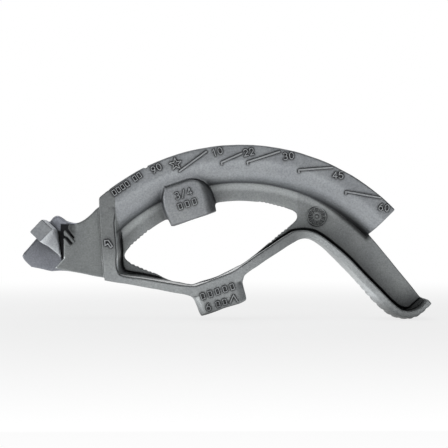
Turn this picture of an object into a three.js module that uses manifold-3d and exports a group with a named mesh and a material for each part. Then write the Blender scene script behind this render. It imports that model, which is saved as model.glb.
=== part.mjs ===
// Hand bender head for thin-wall electrical conduit, trade size 3/4.
// Units are millimetres. +Z is up, +X runs from the hook towards the foot pedal,
// and -Y is the marked face. The origin is at the middle of the bottom of the head.
// The real head is one light-alloy casting. Each named mesh is one working region
// of that casting, with a narrow joint line to its neighbours.

import * as THREE from "three";
import { mergeVertices } from "three/addons/utils/BufferGeometryUtils.js";
import Module from "manifold-3d";

// ---- driving dimensions ----
const JOINT = 0.3; // gap between neighbouring regions
const CUT_REACH = 40; // half depth of cutters, past every face of the head

// The bend
const BEND_X = 11.24; // centre of the bend
const BEND_Z = -27.62;
const BEND_RADIUS = 133.0; // bend centre to conduit centreline
const GROOVE_R = 12.0; // groove that takes the 23.4 mm conduit
const SHOE_R = 16.2; // outer radius of the shoe's U section
const RIM_R = 142.43; // bend centre to the top of the groove walls
const SHOE_END = 45.7; // degrees past the top of the arc where the shoe stops
const START = { x: -84.59, z: 64.58 }; // bend start point on the conduit centreline
const START_ANGLE = 46.1; // degrees before the top of the arc

// Depths across the head
const HALF = SHOE_R; // half width of the shoe, post, rails and bosses
const WEB_HALF = 3.6; // half thickness of the web
const PEDAL_HALF = 19.5; // half width of the foot pedal
const TROUGH_FACE = -14.6; // marked-side face of the hook's trough
const PLATE_FACE = 12.3; // groove-side face of the hook's back plate
const PLATE_BACK = 16.5;
const TROUGH_BACK = PLATE_FACE - JOINT;

// The handle
const HANDLE_LOW = { x: -0.11, z: 6.47 }; // handle axis at the mouth of the lower collar
const HANDLE_UP = { x: -19.65, z: 65.57 }; // handle axis at the mouth of the upper socket
const COLLAR_BORE_R = 13.6; // clears the 26.7 mm handle pipe
const SOCKET_BORE_R = 12.2; // 3/4 pipe thread, minor diameter
const SOCKET_DEPTH = 16.0;
const COLLAR_HALF_WIDTH = 17.6; // across the handle, in the X, Z plane
const SOCKET_HALF_WIDTH = 17.2;
const BOSS_CORNER = 9.0; // rounding of the bosses' long edges
const BOSS_CLEARANCE = 0.6; // room the web leaves around a boss

// ---- outlines: each entry is [x, z] ----
const POST = [
  [-82.5, 79.6], [-82.4, 73.2], [-78.8, 25.3], [-69.4, 23.6],
  [-70.4, 31.1], [-72.4, 63.5], [-72.4, 91.4], [-82.5, 91.4],
];
const RAIL = [
  [-69.0, 28.5], [-66.8, 28.0], [-20.0, 21.3], [-21.0, 14.2], [-24.9, 15.6],
  [-36.8, 17.8], [-48.7, 19.8], [-60.6, 22.1], [-69.0, 23.5],
];
const COLLAR = [
  [-19.5, 21.3], [2.4, 29.5], [11.0, 35.2], [13.2, 27.8],
  [12.5, 24.8], [15.5, 12.0], [-15.8, 1.0], [-20.4, 13.4],
];
// Full-width band along the collar's upper edge
const COLLAR_BAND = [
  ...COLLAR.slice(0, 4),
  [12.8, 25.8], [6.1, 22.5], [-7.1, 17.9], [-17.7, 14.6],
  COLLAR[7],
];
// Upper edge first, then back along the lower edge
const SPOKE = [
  [11.5, 35.5], [19.6, 40.8], [30.5, 46.8], [39.9, 53.9], [47.3, 57.9], [50.3, 58.2],
  [50.3, 52.3], [46.4, 50.5], [38.4, 45.2], [30.5, 40.2], [22.6, 34.7], [13.7, 28.4],
];
// Nine points along the web side, then nine back along the foot surface
const PEDAL_EDGE = [
  [50.5, 58.2], [53.9, 58.3], [60.6, 56.2], [67.3, 52.2], [77.4, 43.9], [82.8, 39.4],
  [93.8, 27.6], [104.9, 16.8], [107.7, 13.9], [104.7, 10.8], [101.8, 13.4], [90.6, 24.6],
  [80.1, 35.8], [74.5, 40.4], [64.6, 48.6], [59.0, 52.2], [54.1, 54.0], [50.5, 53.3],
];
// The pedal at its middle: seven points along the web side, then the foot surface
const PEDAL_CROWN = [
  [51.5, 56.4], [55.1, 56.4], [63.2, 53.0], [71.2, 47.0], [81.3, 37.6], [91.4, 26.9],
  [107.5, 11.4], [106.5, 4.1], [103.4, 6.9], [99.4, 10.8], [95.4, 15.5], [91.4, 20.7],
  [87.3, 25.1], [83.3, 29.4], [79.3, 33.6], [75.3, 37.8], [71.2, 41.8], [67.2, 45.6],
  [63.2, 48.9], [59.2, 51.5], [55.1, 52.7], [51.5, 52.2],
];
// Nine points along the upper face to the tip, then back along the lower face
const TOE = [
  [108.1, 13.5], [112.9, 8.5], [117.7, 5.2], [123.2, 4.3], [127.6, 5.6], [129.9, 7.3],
  [133.2, 10.6], [134.3, 13.0], [136.9, 10.3], [133.0, 5.6], [129.1, 2.5], [125.1, 1.1],
  [121.2, 0.7], [117.2, 0.7], [113.3, 1.8], [109.3, 4.3], [105.0, 10.4],
];
const SOCKET = [
  [-38.7, 85.2], [-20.4, 90.9], [-14.7, 90.1], [-9.8, 86.2], [-5.5, 75.8],
  [-4.8, 71.0], [-34.5, 60.2], [-37.7, 64.6], [-40.4, 74.3], [-40.5, 78.9],
];
// Opening in the web, from its -X tip along the top and back along the bottom
const HOLE = [
  [-66.7, 41.0], [-65.4, 44.6], [-61.3, 48.7], [-57.3, 52.0], [-53.3, 55.6], [-49.3, 58.9],
  [-45.3, 61.7], [-41.3, 64.1], [-35.9, 66.7], [-29.3, 69.8], [-22.6, 72.3], [-15.9, 74.2],
  [-5.2, 76.6], [-1.2, 77.4], [2.8, 77.8], [8.8, 78.0], [14.9, 78.0], [22.9, 77.4],
  [30.9, 76.0], [38.9, 74.0], [42.9, 72.8], [46.9, 71.1], [48.8, 69.6], [49.3, 67.7],
  [48.8, 65.7], [46.9, 63.5], [42.9, 60.3], [38.9, 57.3], [34.9, 53.6], [30.9, 50.2],
  [22.9, 43.7], [14.9, 37.4], [6.8, 32.2], [2.8, 30.0], [-5.2, 27.2], [-13.2, 24.4],
  [-19.6, 21.9], [-25.2, 22.6], [-33.3, 24.0], [-37.3, 25.5], [-45.3, 29.0], [-53.3, 32.5],
  [-61.3, 36.0], [-65.4, 38.0],
];
// Free edge of the pedal web, from the toe up to the shoe
const PEDAL_WEB_EDGE = [[130.6, 13.2], [118.5, 29.3], [106.4, 44.0], [97.3, 55.0]];
const TROUGH = [
  [-82.9, 72.8], [-84.5, 72.6], [-88.4, 68.4], [-92.4, 64.9], [-96.4, 63.3], [-98.3, 62.9],
  [-98.3, 53.8], [-101.0, 49.8], [-105.9, 45.2], [-105.9, 39.7], [-111.7, 33.1], [-79.4, 27.0],
];
const PLATE = [
  [-85.1, 74.0], [-86.7, 72.7], [-90.8, 68.5], [-94.9, 65.0], [-99.0, 63.4], [-103.0, 63.4],
  [-107.9, 64.3], [-110.8, 66.7], [-111.9, 67.6], [-114.7, 67.8], [-117.8, 64.4],
  [-127.7, 52.3], [-137.0, 41.0], [-136.6, 39.6], [-131.0, 33.7], [-117.8, 30.6],
  [-81.5, 26.0],
];

// ---- outline helpers ----
const rad = THREE.MathUtils.degToRad;

// A point at a radius and an angle past the top of the arc.
const polar = (radius, degrees) => [
  BEND_X + radius * Math.sin(rad(degrees)),
  BEND_Z + radius * Math.cos(rad(degrees)),
];

const moved = (points, dx, dz) => points.map(([x, z]) => [x + dx, z + dz]);

// An outline grown outwards from its middle by about the given distance.
function grown(points, distance) {
  const mean = (axis) => points.reduce((sum, p) => sum + p[axis], 0) / points.length;
  const middleX = mean(0);
  const middleZ = mean(1);
  return points.map(([x, z]) => {
    const dx = x - middleX;
    const dz = z - middleZ;
    const scale = 1 + distance / Math.hypot(dx, dz);
    return [middleX + dx * scale, middleZ + dz * scale];
  });
}

function arcPoints(radius, from, to, steps) {
  const points = [];
  for (let i = 0; i <= steps; i++) {
    const angle = rad(from + ((to - from) * i) / steps);
    points.push([radius * Math.cos(angle), radius * Math.sin(angle)]);
  }
  return points;
}

const circle = (radius, sides) => arcPoints(radius, 0, 360 - 360 / sides, sides - 1);

// A rectangle with rounded corners, given by its half sizes.
function roundedSection(halfWidth, halfDepth, corner) {
  const cornerX = halfWidth - corner;
  const cornerY = halfDepth - corner;
  return [
    [cornerX, cornerY, 0],
    [-cornerX, cornerY, 90],
    [-cornerX, -cornerY, 180],
    [cornerX, -cornerY, 270],
  ].flatMap(([x, y, from]) => moved(arcPoints(corner, from, from + 90, 5), x, y));
}

// ---- solid modelling ----
const wasm = await Module();
wasm.setup();

function solid(geometry) {
  geometry.deleteAttribute("normal");
  geometry.deleteAttribute("uv");
  const merged = mergeVertices(geometry, 1e-3);
  const triangles = new Uint32Array(merged.index.array);
  const build = () =>
    new wasm.Manifold(
      new wasm.Mesh({
        numProp: 3,
        vertProperties: new Float32Array(merged.attributes.position.array),
        triVerts: triangles,
      }),
    );
  const built = build();
  if (built.volume() > 0) return built;
  // A ring profile may run either way round, so turn inside-out faces over.
  for (let i = 0; i < triangles.length; i += 3)
    [triangles[i + 1], triangles[i + 2]] = [triangles[i + 2], triangles[i + 1]];
  return build();
}

// Flat-shaded geometry of a solid.
function geometryOf(manifold) {
  const mesh = manifold.getMesh();
  const indexed = new THREE.BufferGeometry();
  const positions = new Float32Array(mesh.vertProperties);
  indexed.setAttribute("position", new THREE.BufferAttribute(positions, 3));
  indexed.setIndex(new THREE.BufferAttribute(new Uint32Array(mesh.triVerts), 1));
  const flat = indexed.toNonIndexed();
  flat.computeVertexNormals();
  return flat;
}

function extrusion(section, depth) {
  const shape = new THREE.Shape(section.map(([x, y]) => new THREE.Vector2(x, y)));
  return new THREE.ExtrudeGeometry(shape, { depth, bevelEnabled: false });
}

// A prism on an X, Z outline between two depths in Y.
function prism(outline, y0, y1) {
  const geometry = extrusion(outline, y1 - y0);
  geometry.rotateX(Math.PI / 2);
  geometry.translate(0, y1, 0);
  return solid(geometry);
}
const centredPrism = (outline, half) => prism(outline, -half, half);
const cutter = (outline) => centredPrism(outline, CUT_REACH);

// A ring about the bend axis from a closed profile of [radius, y].
function ring(profile) {
  const segments = 160;
  const points = profile.map(([radius, y]) => new THREE.Vector2(radius, y));
  const geometry = new THREE.LatheGeometry(points, segments);
  geometry.translate(BEND_X, 0, BEND_Z);
  return solid(geometry);
}

// U-shaped profile: half round towards the bend centre, straight walls outwards.
function uProfile(radius, top) {
  const floor = arcPoints(radius, -90, 90, 12).map(([inward, y]) => [BEND_RADIUS - inward, y]);
  return [[top, -radius], ...floor, [top, radius], [top, -radius]];
}

// A bar along the straight conduit beyond the bend start. Its section is
// [y, outward from the centreline]; the two distances run from the bend start.
function hookBar(section, from, to) {
  const cos = Math.cos(rad(START_ANGLE));
  const sin = Math.sin(rad(START_ANGLE));
  const across = new THREE.Vector3(0, 1, 0);
  const outward = new THREE.Vector3(-sin, 0, cos);
  const towardsBend = new THREE.Vector3(cos, 0, sin);
  const geometry = extrusion(section, to - from);
  geometry.applyMatrix4(new THREE.Matrix4().makeBasis(across, outward, towardsBend));
  geometry.translate(START.x - to * cos, 0, START.z - to * sin);
  return solid(geometry);
}

const HANDLE_TURN = new THREE.Quaternion().setFromUnitVectors(
  new THREE.Vector3(0, 0, 1),
  new THREE.Vector3(HANDLE_UP.x - HANDLE_LOW.x, 0, HANDLE_UP.z - HANDLE_LOW.z).normalize(),
);

// A column along the handle axis, between two heights above a point on it.
function column(section, base, low, high) {
  const geometry = extrusion(section, high - low);
  geometry.translate(0, 0, low);
  geometry.applyQuaternion(HANDLE_TURN);
  geometry.translate(base.x, 0, base.z);
  return solid(geometry);
}

// Rounded column that passes both ends of a boss.
const bossColumn = (halfWidth, mouth) =>
  column(roundedSection(halfWidth, HALF, BOSS_CORNER), mouth, -8, 50);

// Bore from below the mouth up to a height above it.
const bore = (radius, mouth, top) => column(circle(radius, 40), mouth, -12, top);

// ---- shared cutters ----
const groove = ring(uProfile(GROOVE_R, RIM_R + 12));
const shoeEnvelope = ring(uProfile(SHOE_R + JOINT, RIM_R + 140));
// The post's room, widened by the joint on its +X side
const postRoom = cutter([
  ...POST.slice(0, 3),
  ...moved(POST.slice(3, 7), JOINT, 0),
  POST[7],
]);
// The post moved towards the hook, to trim the hook's pieces clear of it
const hookTrim = cutter(moved(POST, -JOINT - 0.2, 0));
const POST_FACE = POST[5][0]; // +X face of the post

// ---- shoe ----
function shoeChannel() {
  const left = POST_FACE + JOINT;
  const top = 260; // above the shoe
  const extent = cutter([
    [left, 0],
    polar(40, SHOE_END),
    polar(200, SHOE_END),
    [BEND_X, top],
    [left, top],
  ]);
  // A shallow sighting notch in the marked-side wall
  const notch = prism(
    [polar(141.5, -26.9), polar(146, -27.6), polar(146, -25.4), polar(141.5, -25.9)],
    -CUT_REACH,
    0,
  );
  return ring(uProfile(SHOE_R, RIM_R))
    .intersect(extent)
    .subtract(groove)
    .subtract(postRoom)
    .subtract(notch);
}

// ---- post, collar and socket ----
function frontPost() {
  const insideRim = ring([
    [40, -CUT_REACH],
    [RIM_R, -CUT_REACH],
    [RIM_R, CUT_REACH],
    [40, CUT_REACH],
    [40, -CUT_REACH],
  ]);
  return centredPrism(POST, HALF).intersect(insideRim).subtract(groove);
}

function handleCollar() {
  return centredPrism(COLLAR, HALF)
    .intersect(bossColumn(COLLAR_HALF_WIDTH, HANDLE_LOW))
    .add(centredPrism(COLLAR_BAND, HALF))
    .subtract(bore(COLLAR_BORE_R, HANDLE_LOW, 60));
}

function handleSocket() {
  return centredPrism(SOCKET, HALF)
    .intersect(bossColumn(SOCKET_HALF_WIDTH, HANDLE_UP))
    .subtract(shoeEnvelope)
    .subtract(bore(SOCKET_BORE_R, HANDLE_UP, SOCKET_DEPTH));
}

// ---- web ----
// Web outlines run on into the hole and the shoe, where the cutters trim them.
const WEB_TOP = 130; // within the shoe's envelope
const [HOLE_LEFT_X, HOLE_LEFT_Z] = HOLE[0]; // the hole's -X tip
const [HOLE_RIGHT_X, HOLE_RIGHT_Z] = HOLE[23]; // the hole's +X tip
const SOCKET_MID = (SOCKET[0][0] + SOCKET[5][0]) / 2;
const WEB_CUTTERS = [
  shoeEnvelope,
  cutter(HOLE),
  postRoom,
  cutter(grown(SOCKET, BOSS_CLEARANCE)),
  cutter(grown(COLLAR, BOSS_CLEARANCE)),
];

// The largest body left by the cutters; slivers beside a boss are dropped.
function web(outline) {
  const slab = centredPrism(outline, WEB_HALF);
  const trimmed = WEB_CUTTERS.reduce((body, cut) => body.subtract(cut), slab);
  return trimmed.decompose().sort((a, b) => b.volume() - a.volume())[0];
}

const frontWeb = () => web([
  [POST_FACE, HOLE_LEFT_Z + JOINT / 2],
  [POST_FACE, WEB_TOP],
  [SOCKET_MID, WEB_TOP],
  [SOCKET_MID, 60],
  [-30, 60],
  [HOLE_LEFT_X + 6, HOLE_LEFT_Z + JOINT / 2],
]);

const rearWeb = () => web([
  [SOCKET_MID, 60],
  [SOCKET_MID, WEB_TOP],
  [HOLE_RIGHT_X - JOINT / 2, WEB_TOP],
  [HOLE_RIGHT_X - JOINT / 2, HOLE_RIGHT_Z],
  [0, HOLE_RIGHT_Z - 6],
]);

const railWeb = () => web([
  ...moved(RAIL.slice(0, 3), 0, JOINT),
  ...moved([RAIL[2]], 0, 4),
  [HOLE_LEFT_X + 8, HOLE_LEFT_Z - JOINT / 2],
  [POST_FACE, HOLE_LEFT_Z - JOINT / 2],
]);

const spokeWeb = () => web([
  ...moved(SPOKE.slice(0, 4), 0, JOINT + 0.1),
  ...moved([SPOKE[4]], 0, JOINT),
  [HOLE_RIGHT_X - JOINT / 2, SPOKE[5][1] + JOINT],
  [HOLE_RIGHT_X - JOINT / 2, HOLE_RIGHT_Z - 0.5],
  [28, 62],
  [8, 42],
  ...moved([SPOKE[0]], 0, 3),
]);

function pedalWeb() {
  const left = HOLE_RIGHT_X + JOINT / 2;
  const plateGap = 0.35; // in X and in Z
  const toeGap = 0.5;
  return web([
    [left, PEDAL_EDGE[0][1] + 0.9],
    ...moved(PEDAL_EDGE.slice(1, 9), plateGap, plateGap),
    ...moved([TOE[1]], 0.2, toeGap),
    ...moved(TOE.slice(2, 4), 0, toeGap),
    ...moved([TOE[4]], -0.2, toeGap),
    ...PEDAL_WEB_EDGE,
    polar(150, SHOE_END - 1.2),
    [left, WEB_TOP],
  ]);
}

// ---- foot pedal ----
// A cutter between two distances past the joint line of plate and toe.
function pedalSlice(from, to) {
  const across = [-0.7, -0.714]; // through the plate's thickness
  const along = [0.714, -0.7]; // down the plate towards the toe
  const reach = 60;
  const [jointX, jointZ] = TOE[0];
  return cutter(
    [[reach, from], [-reach, from], [-reach, to], [reach, to]].map(([side, distance]) => [
      jointX + across[0] * side + along[0] * distance,
      jointZ + across[1] * side + along[1] * distance,
    ]),
  );
}

// The crown outline with its foot surface set back from the full height.
function crown(share) {
  const back = (1 - share) * 2.4;
  return [
    ...PEDAL_CROWN.slice(0, 7),
    ...moved(PEDAL_CROWN.slice(7), 0.62 * back, 0.78 * back),
  ];
}

// The foot surface is crowned, so the plate is built up in steps towards its middle.
function pedalPlate() {
  // share of the full crown, half width
  const steps = [[0.5, 15.5], [0.85, 11.5], [1, 6.5]];
  return steps
    .reduce(
      (plate, [share, half]) => plate.add(centredPrism(crown(share), half)),
      centredPrism(PEDAL_EDGE, PEDAL_HALF),
    )
    .subtract(pedalSlice(-JOINT, 100));
}

// The curled toe, thickened downwards over its middle.
function pedalToe() {
  const thickened = [...TOE.slice(0, 9), ...moved(TOE.slice(9), -0.2, -0.7)];
  return centredPrism(TOE, PEDAL_HALF)
    .add(centredPrism(thickened, 14))
    .intersect(pedalSlice(0, 100));
}

// ---- hook ----
function hookTrough() {
  // The straight part of the groove, open outwards
  const wallTop = 40;
  const throat = hookBar(
    [[GROOVE_R, wallTop], ...arcPoints(GROOVE_R, 0, -180, 20), [-GROOVE_R, wallTop]],
    -0.2,
    70,
  );
  return prism(TROUGH, TROUGH_FACE, TROUGH_BACK)
    .subtract(hookTrim)
    .subtract(groove)
    .subtract(throat);
}

const hookBackPlate = () => prism(PLATE, PLATE_FACE, PLATE_BACK).subtract(hookTrim);

// [y, outward from the conduit centreline]
const SADDLE = [
  [-14, 26.6], [-14, 17.2], [-10.5, 15.2], [-4, 13.2], [2, 12.4], [6.5, 10.3],
  [9.6, 7.0], [11.2, 3.0], [11.6, -0.8], [TROUGH_BACK, -0.8], [TROUGH_BACK, 26.6],
];
const hookSaddle = () => hookBar(SADDLE, 24, 35.6);

// A thin curved rib on the +Y side of the groove, centred at a distance from the bend start.
function gripRib(distance) {
  const outer = GROOVE_R - JOINT;
  const height = 1.2;
  const spread = 34; // degrees either side of +Y
  const halfLength = 1.1;
  return hookBar(
    [...arcPoints(outer, spread, -spread, 12), ...arcPoints(outer - height, -spread, spread, 12)],
    distance - halfLength,
    distance + halfLength,
  );
}

// ---- raised marks on the marked face ----
// Bend angle, then the [x, z] ends of its line
const ANGLE_LINES = [
  [10, [-29.3, 97.2], [-11.6, 110.2]],
  [22, [-1.6, 103.1], [11.7, 109.0]],
  [30, [15.5, 103.4], [36.8, 110.3]],
  [45, [49.5, 98.1], [71.8, 99.8]],
  [60, [80.5, 83.9], [103.4, 79.8]],
];
const LINE_WIDTH = 1.3;
const START_ARROW = [
  [-78.7, 52.1], [-75.1, 52.1], [-73.0, 47.8], [-74.2, 47.0], [-75.9, 50.9], [-78.7, 50.8],
];
const TAKE_UP_ARROW = [
  [6.8, 16.7], [9.7, 11.3], [8.3, 10.7], [6.2, 14.6], [4.5, 9.9], [3.3, 10.4],
];
const MARK_RISE = 0.5;
const MARK_BASE = -HALF - JOINT;

const mark = (outline) => prism(outline, MARK_BASE - MARK_RISE, MARK_BASE);

function lineMark([x0, z0], [x1, z1]) {
  const length = Math.hypot(x1 - x0, z1 - z0);
  const sideX = (-(z1 - z0) / length) * (LINE_WIDTH / 2);
  const sideZ = ((x1 - x0) / length) * (LINE_WIDTH / 2);
  return mark([
    [x0 + sideX, z0 + sideZ],
    [x1 + sideX, z1 + sideZ],
    [x1 - sideX, z1 - sideZ],
    [x0 - sideX, z0 - sideZ],
  ]);
}

function starMark() {
  const centre = { x: -31.8, z: 102.1 };
  const outline = [];
  for (let i = 0; i < 10; i++) {
    const radius = i % 2 ? 1.6 : 3.5;
    const angle = rad(100 + 36 * i);
    outline.push([centre.x + radius * Math.cos(angle), centre.z + radius * Math.sin(angle)]);
  }
  return mark(outline);
}

// ---- finishes ----
// Bare alloy in slightly different greys and roughnesses
const FINISH = {
  shoe: { color: 0x8b9192, roughness: 0.55 },
  shoeWeb: { color: 0x777d7b, roughness: 0.55 },
  post: { color: 0x7f8583, roughness: 0.55 },
  rail: { color: 0x868c8a, roughness: 0.55 },
  dark: { color: 0x6c7270, roughness: 0.55 },
  light: { color: 0x8e9493, roughness: 0.55 },
  socket: { color: 0x868c8c, roughness: 0.55 },
  pedal: { color: 0x8e9493, roughness: 0.5 },
  toe: { color: 0x868c8a, roughness: 0.5 },
  trough: { color: 0x747a78, roughness: 0.65 },
  plate: { color: 0x7a7f88, roughness: 0.45 },
  saddle: { color: 0x8a8f92, roughness: 0.6 },
};

// ---- scene graph ----
const head = new THREE.Group();
const shoeGroup = new THREE.Group();
const frameGroup = new THREE.Group();
const pedalGroup = new THREE.Group();
const hookGroup = new THREE.Group();
head.add(shoeGroup, frameGroup, pedalGroup, hookGroup);

function place(group, name, manifold, finish) {
  const material = new THREE.MeshStandardMaterial({ ...finish, metalness: 0.85 });
  const mesh = new THREE.Mesh(geometryOf(manifold), material);
  mesh.name = name;
  group.add(mesh);
}

place(shoeGroup, "shoe_channel", shoeChannel(), FINISH.shoe);
place(shoeGroup, "front_web", frontWeb(), FINISH.shoeWeb);
place(shoeGroup, "rear_web", rearWeb(), FINISH.shoeWeb);
for (const [angle, from, to] of ANGLE_LINES)
  place(shoeGroup, `angle_line_${angle}`, lineMark(from, to), FINISH.dark);
place(shoeGroup, "star_mark", starMark(), FINISH.dark);

place(frameGroup, "front_post", frontPost(), FINISH.post);
place(frameGroup, "lower_rail", centredPrism(RAIL, HALF), FINISH.rail);
place(frameGroup, "rail_web", railWeb(), FINISH.dark);
place(frameGroup, "handle_collar", handleCollar(), FINISH.light);
place(frameGroup, "handle_socket", handleSocket(), FINISH.socket);
place(frameGroup, "spoke_flange", centredPrism(SPOKE, HALF), FINISH.light);
place(frameGroup, "spoke_web", spokeWeb(), FINISH.dark);
place(frameGroup, "start_arrow", mark(START_ARROW), FINISH.dark);
place(frameGroup, "take_up_arrow", mark(TAKE_UP_ARROW), FINISH.dark);

place(pedalGroup, "pedal_web", pedalWeb(), FINISH.dark);
place(pedalGroup, "pedal_plate", pedalPlate(), FINISH.pedal);
place(pedalGroup, "pedal_toe", pedalToe(), FINISH.toe);

place(hookGroup, "hook_trough", hookTrough(), FINISH.trough);
place(hookGroup, "hook_back_plate", hookBackPlate(), FINISH.plate);
place(hookGroup, "hook_saddle", hookSaddle(), FINISH.saddle);
place(hookGroup, "grip_rib_1", gripRib(18.6), FINISH.saddle);
place(hookGroup, "grip_rib_2", gripRib(22.2), FINISH.saddle);

export default head;
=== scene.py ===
# Hand bender head for thin-wall conduit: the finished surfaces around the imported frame.
# The bend lies in the X, Z plane, its shoe arching over the top. The hook is at -X, the foot
# slopes down to its toe at +X, and Y is the thickness, with the raised marks on the -Y face.
# The head is one light-alloy casting. Its whole skin is made as one distance field, in
# millimetres, then cut into the frame's nodes, so that the cast fillets run across the cuts.

import math
from functools import cached_property, reduce

import bmesh
import bpy
import numpy as np
import openvdb as vdb
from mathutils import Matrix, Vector


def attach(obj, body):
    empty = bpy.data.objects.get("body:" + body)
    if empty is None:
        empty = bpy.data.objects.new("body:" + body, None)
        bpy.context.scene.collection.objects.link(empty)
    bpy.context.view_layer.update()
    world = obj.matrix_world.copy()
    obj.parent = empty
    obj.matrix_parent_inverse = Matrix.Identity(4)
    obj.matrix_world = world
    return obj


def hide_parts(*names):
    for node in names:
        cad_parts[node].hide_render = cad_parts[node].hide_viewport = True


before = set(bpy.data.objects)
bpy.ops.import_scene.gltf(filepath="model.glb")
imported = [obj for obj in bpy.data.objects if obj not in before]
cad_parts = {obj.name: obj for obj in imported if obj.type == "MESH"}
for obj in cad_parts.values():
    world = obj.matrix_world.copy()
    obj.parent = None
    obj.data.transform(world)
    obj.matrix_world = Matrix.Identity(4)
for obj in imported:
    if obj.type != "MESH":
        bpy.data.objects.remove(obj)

for name in ("Cube", "Light", "Camera"):
    if name in bpy.data.objects:
        bpy.data.objects.remove(bpy.data.objects[name])
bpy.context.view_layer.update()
f32 = np.float32

# ---- sizes, millimetres; places are X, Z ----
MM = 0.001  # one millimetre in metres
BEND = (11.24, -27.62)  # bend centre
BEND_R = 133.0  # radius of the conduit groove's centre line
GROOVE_R = 12.0
SHOE_R = 16.2  # outer radius of the shoe's U section
RIM_R = 142.43  # bend radius at the shoe's rims
SHOE_END = 45.7  # degrees past the vertical
HALF = 16.2  # half thickness of the flanges
FOOT_HALF = 19.5
WEB_HALF = 3.6
EDGE_R = 0.9  # rounding of the shoe's and flanges' edges

# the hook's own frame: along the straight groove, and out of it
START = (-84.59, 64.58)
ALONG = (-0.6934, -0.7206)
OUT = (ALONG[1], -ALONG[0])

# the handle's own frame: up its axis, and across it
HANDLE_LOW = (-0.11, 6.47)
HANDLE_UP = (-19.65, 65.57)
UP = (-0.314, 0.949)
ACROSS = (UP[1], -UP[0])

# ---- the grid ----
CELL = 0.45
GRID_START = (-139.4, -21.6, -2.25)
GRID_COUNT = (620, 97, 266)
AXES = [(a + CELL * np.arange(n)).astype(f32) for a, n in zip(GRID_START, GRID_COUNT)]
field = np.full(GRID_COUNT, 20.0, f32)
OUTLINE_STEP = 1.3  # longest chord on a curved outline


def window(x0, x1, z0, z1, y0=-30, y1=30):
    """The slices of a sub-box, with its coordinates as broadcastable arrays."""
    box = []
    for low, high, start, count in zip((x0, y0, z0), (x1, y1, z1), GRID_START, GRID_COUNT):
        first = max(0, math.floor((low - start) / CELL))
        last = min(count, math.ceil((high - start) / CELL) + 1)
        box.append(slice(first, last))
    x = AXES[0][box[0]][:, None, None]
    y = AXES[1][box[1]][None, :, None]
    z = AXES[2][box[2]][None, None, :]
    return tuple(box), x, y, z


def smooth_min(a, b, blend):
    if np.isscalar(blend) and blend <= 0:
        return np.minimum(a, b)
    near = np.maximum(blend - np.abs(a - b), 0) / np.maximum(blend, 1e-6)
    return np.minimum(a, b) - near * near * blend * 0.25


def smooth_max(a, b, blend):
    return -smooth_min(-a, -b, blend)


def all_of(*distances):
    """Sharp intersection."""
    return reduce(np.maximum, distances)


def meet(a, b, radius):
    """Two crossing distances intersected with a rounded edge."""
    a, b = a + radius, b + radius
    outside = np.sqrt(np.maximum(a, 0) ** 2 + np.maximum(b, 0) ** 2)
    return np.minimum(np.maximum(a, b), 0) + outside - radius


def ramp(value, start, end):
    """A smooth step from 0 to 1."""
    t = np.clip((value - start) / (end - start), 0, 1)
    return t * t * (3 - 2 * t)


def outline(points):
    """A closed polyline through X, Z points, curved except at those with a third number."""
    places = [np.array(q[:2], float) for q in points]
    corner = [len(q) > 2 for q in points]
    count = len(places)

    def tangent(i, chord):
        if corner[i]:
            return chord
        before, after = places[i] - places[i - 1], places[(i + 1) % count] - places[i]
        len_before, len_after = np.linalg.norm(before), np.linalg.norm(after)
        turned = before / len_before * len_after + after / len_after * len_before
        return turned / (len_before + len_after)

    line = []
    for i in range(count):
        j = (i + 1) % count
        a, b = places[i], places[j]
        length = np.linalg.norm(b - a)
        chord = (b - a) / length
        leave, arrive = tangent(i, chord), tangent(j, chord)
        steps = max(1, int(math.ceil(length / OUTLINE_STEP)))
        if corner[i] and corner[j]:
            steps = 1
        for k in range(steps):
            t = k / steps
            line.append(
                (2 * t**3 - 3 * t**2 + 1) * a + (t**3 - 2 * t**2 + t) * leave * length
                + (3 * t**2 - 2 * t**3) * b + (t**3 - t**2) * arrive * length
            )
    return np.array(line)


def line_distance(lines, x, z):
    """Distance to a set of open polylines."""
    best = np.full(np.broadcast(x, z).shape, 1e9, f32)
    for line in lines:
        for (x0, z0), (x1, z1) in zip(line[:-1], line[1:]):
            run, rise = x1 - x0, z1 - z0
            from_x, from_z = x - f32(x0), z - f32(z0)
            t = (from_x * f32(run) + from_z * f32(rise)) / f32(run * run + rise * rise + 1e-12)
            t = np.clip(t, 0, 1)
            gap = (from_x - t * f32(run)) ** 2 + (from_z - t * f32(rise)) ** 2
            np.minimum(best, gap, out=best)
    return np.sqrt(best)


def area_distance(line, x, z):
    """Signed distance to a closed polyline, negative inside."""
    closed = np.vstack([line, line[:1]])
    distance = line_distance([closed], x, z)
    inside = np.zeros(distance.shape, bool)
    for (x0, z0), (x1, z1) in zip(closed[:-1], closed[1:]):
        if z0 != z1:
            spans = (z < f32(z0)) != (z < f32(z1))
            inside ^= spans & (x - f32(x0) < f32((x1 - x0) / (z1 - z0)) * (z - f32(z0)))
    return np.where(inside, -distance, distance)


def join(box, distance, blend):
    field[box] = smooth_min(field[box], distance, blend)


def cut(box, distance, blend):
    field[box] = smooth_max(field[box], -distance, blend)


def bend_radius(x, z):
    return np.hypot(x - BEND[0], z - BEND[1])


def bend_angle(x, z):
    """Degrees past the vertical, towards +X."""
    return np.degrees(np.arctan2(x - BEND[0], z - BEND[1]))


def local_frame(x, z, origin, first, second):
    """Coordinates on two directions from an origin."""
    dx, dz = x - origin[0], z - origin[1]
    return dx * first[0] + dz * first[1], dx * second[0] + dz * second[1]


def u_section(height, y, radius):
    """A half round below height 0 with straight sides above it."""
    return np.hypot(np.minimum(height, 0), y) - radius


# ---- shoe: a U section swept about the bend centre ----
def make_shoe():
    box, x, y, z = window(-139, 139, 40, 117)
    radius = bend_radius(x, z)
    distance = meet(u_section(radius - BEND_R, y, SHOE_R), radius - RIM_R, EDGE_R)
    end = radius * np.sin(np.radians(bend_angle(x, z) - SHOE_END))
    distance = smooth_max(distance, end, EDGE_R)
    join(box, np.maximum(distance, -75.5 - x), blend=0)


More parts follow.
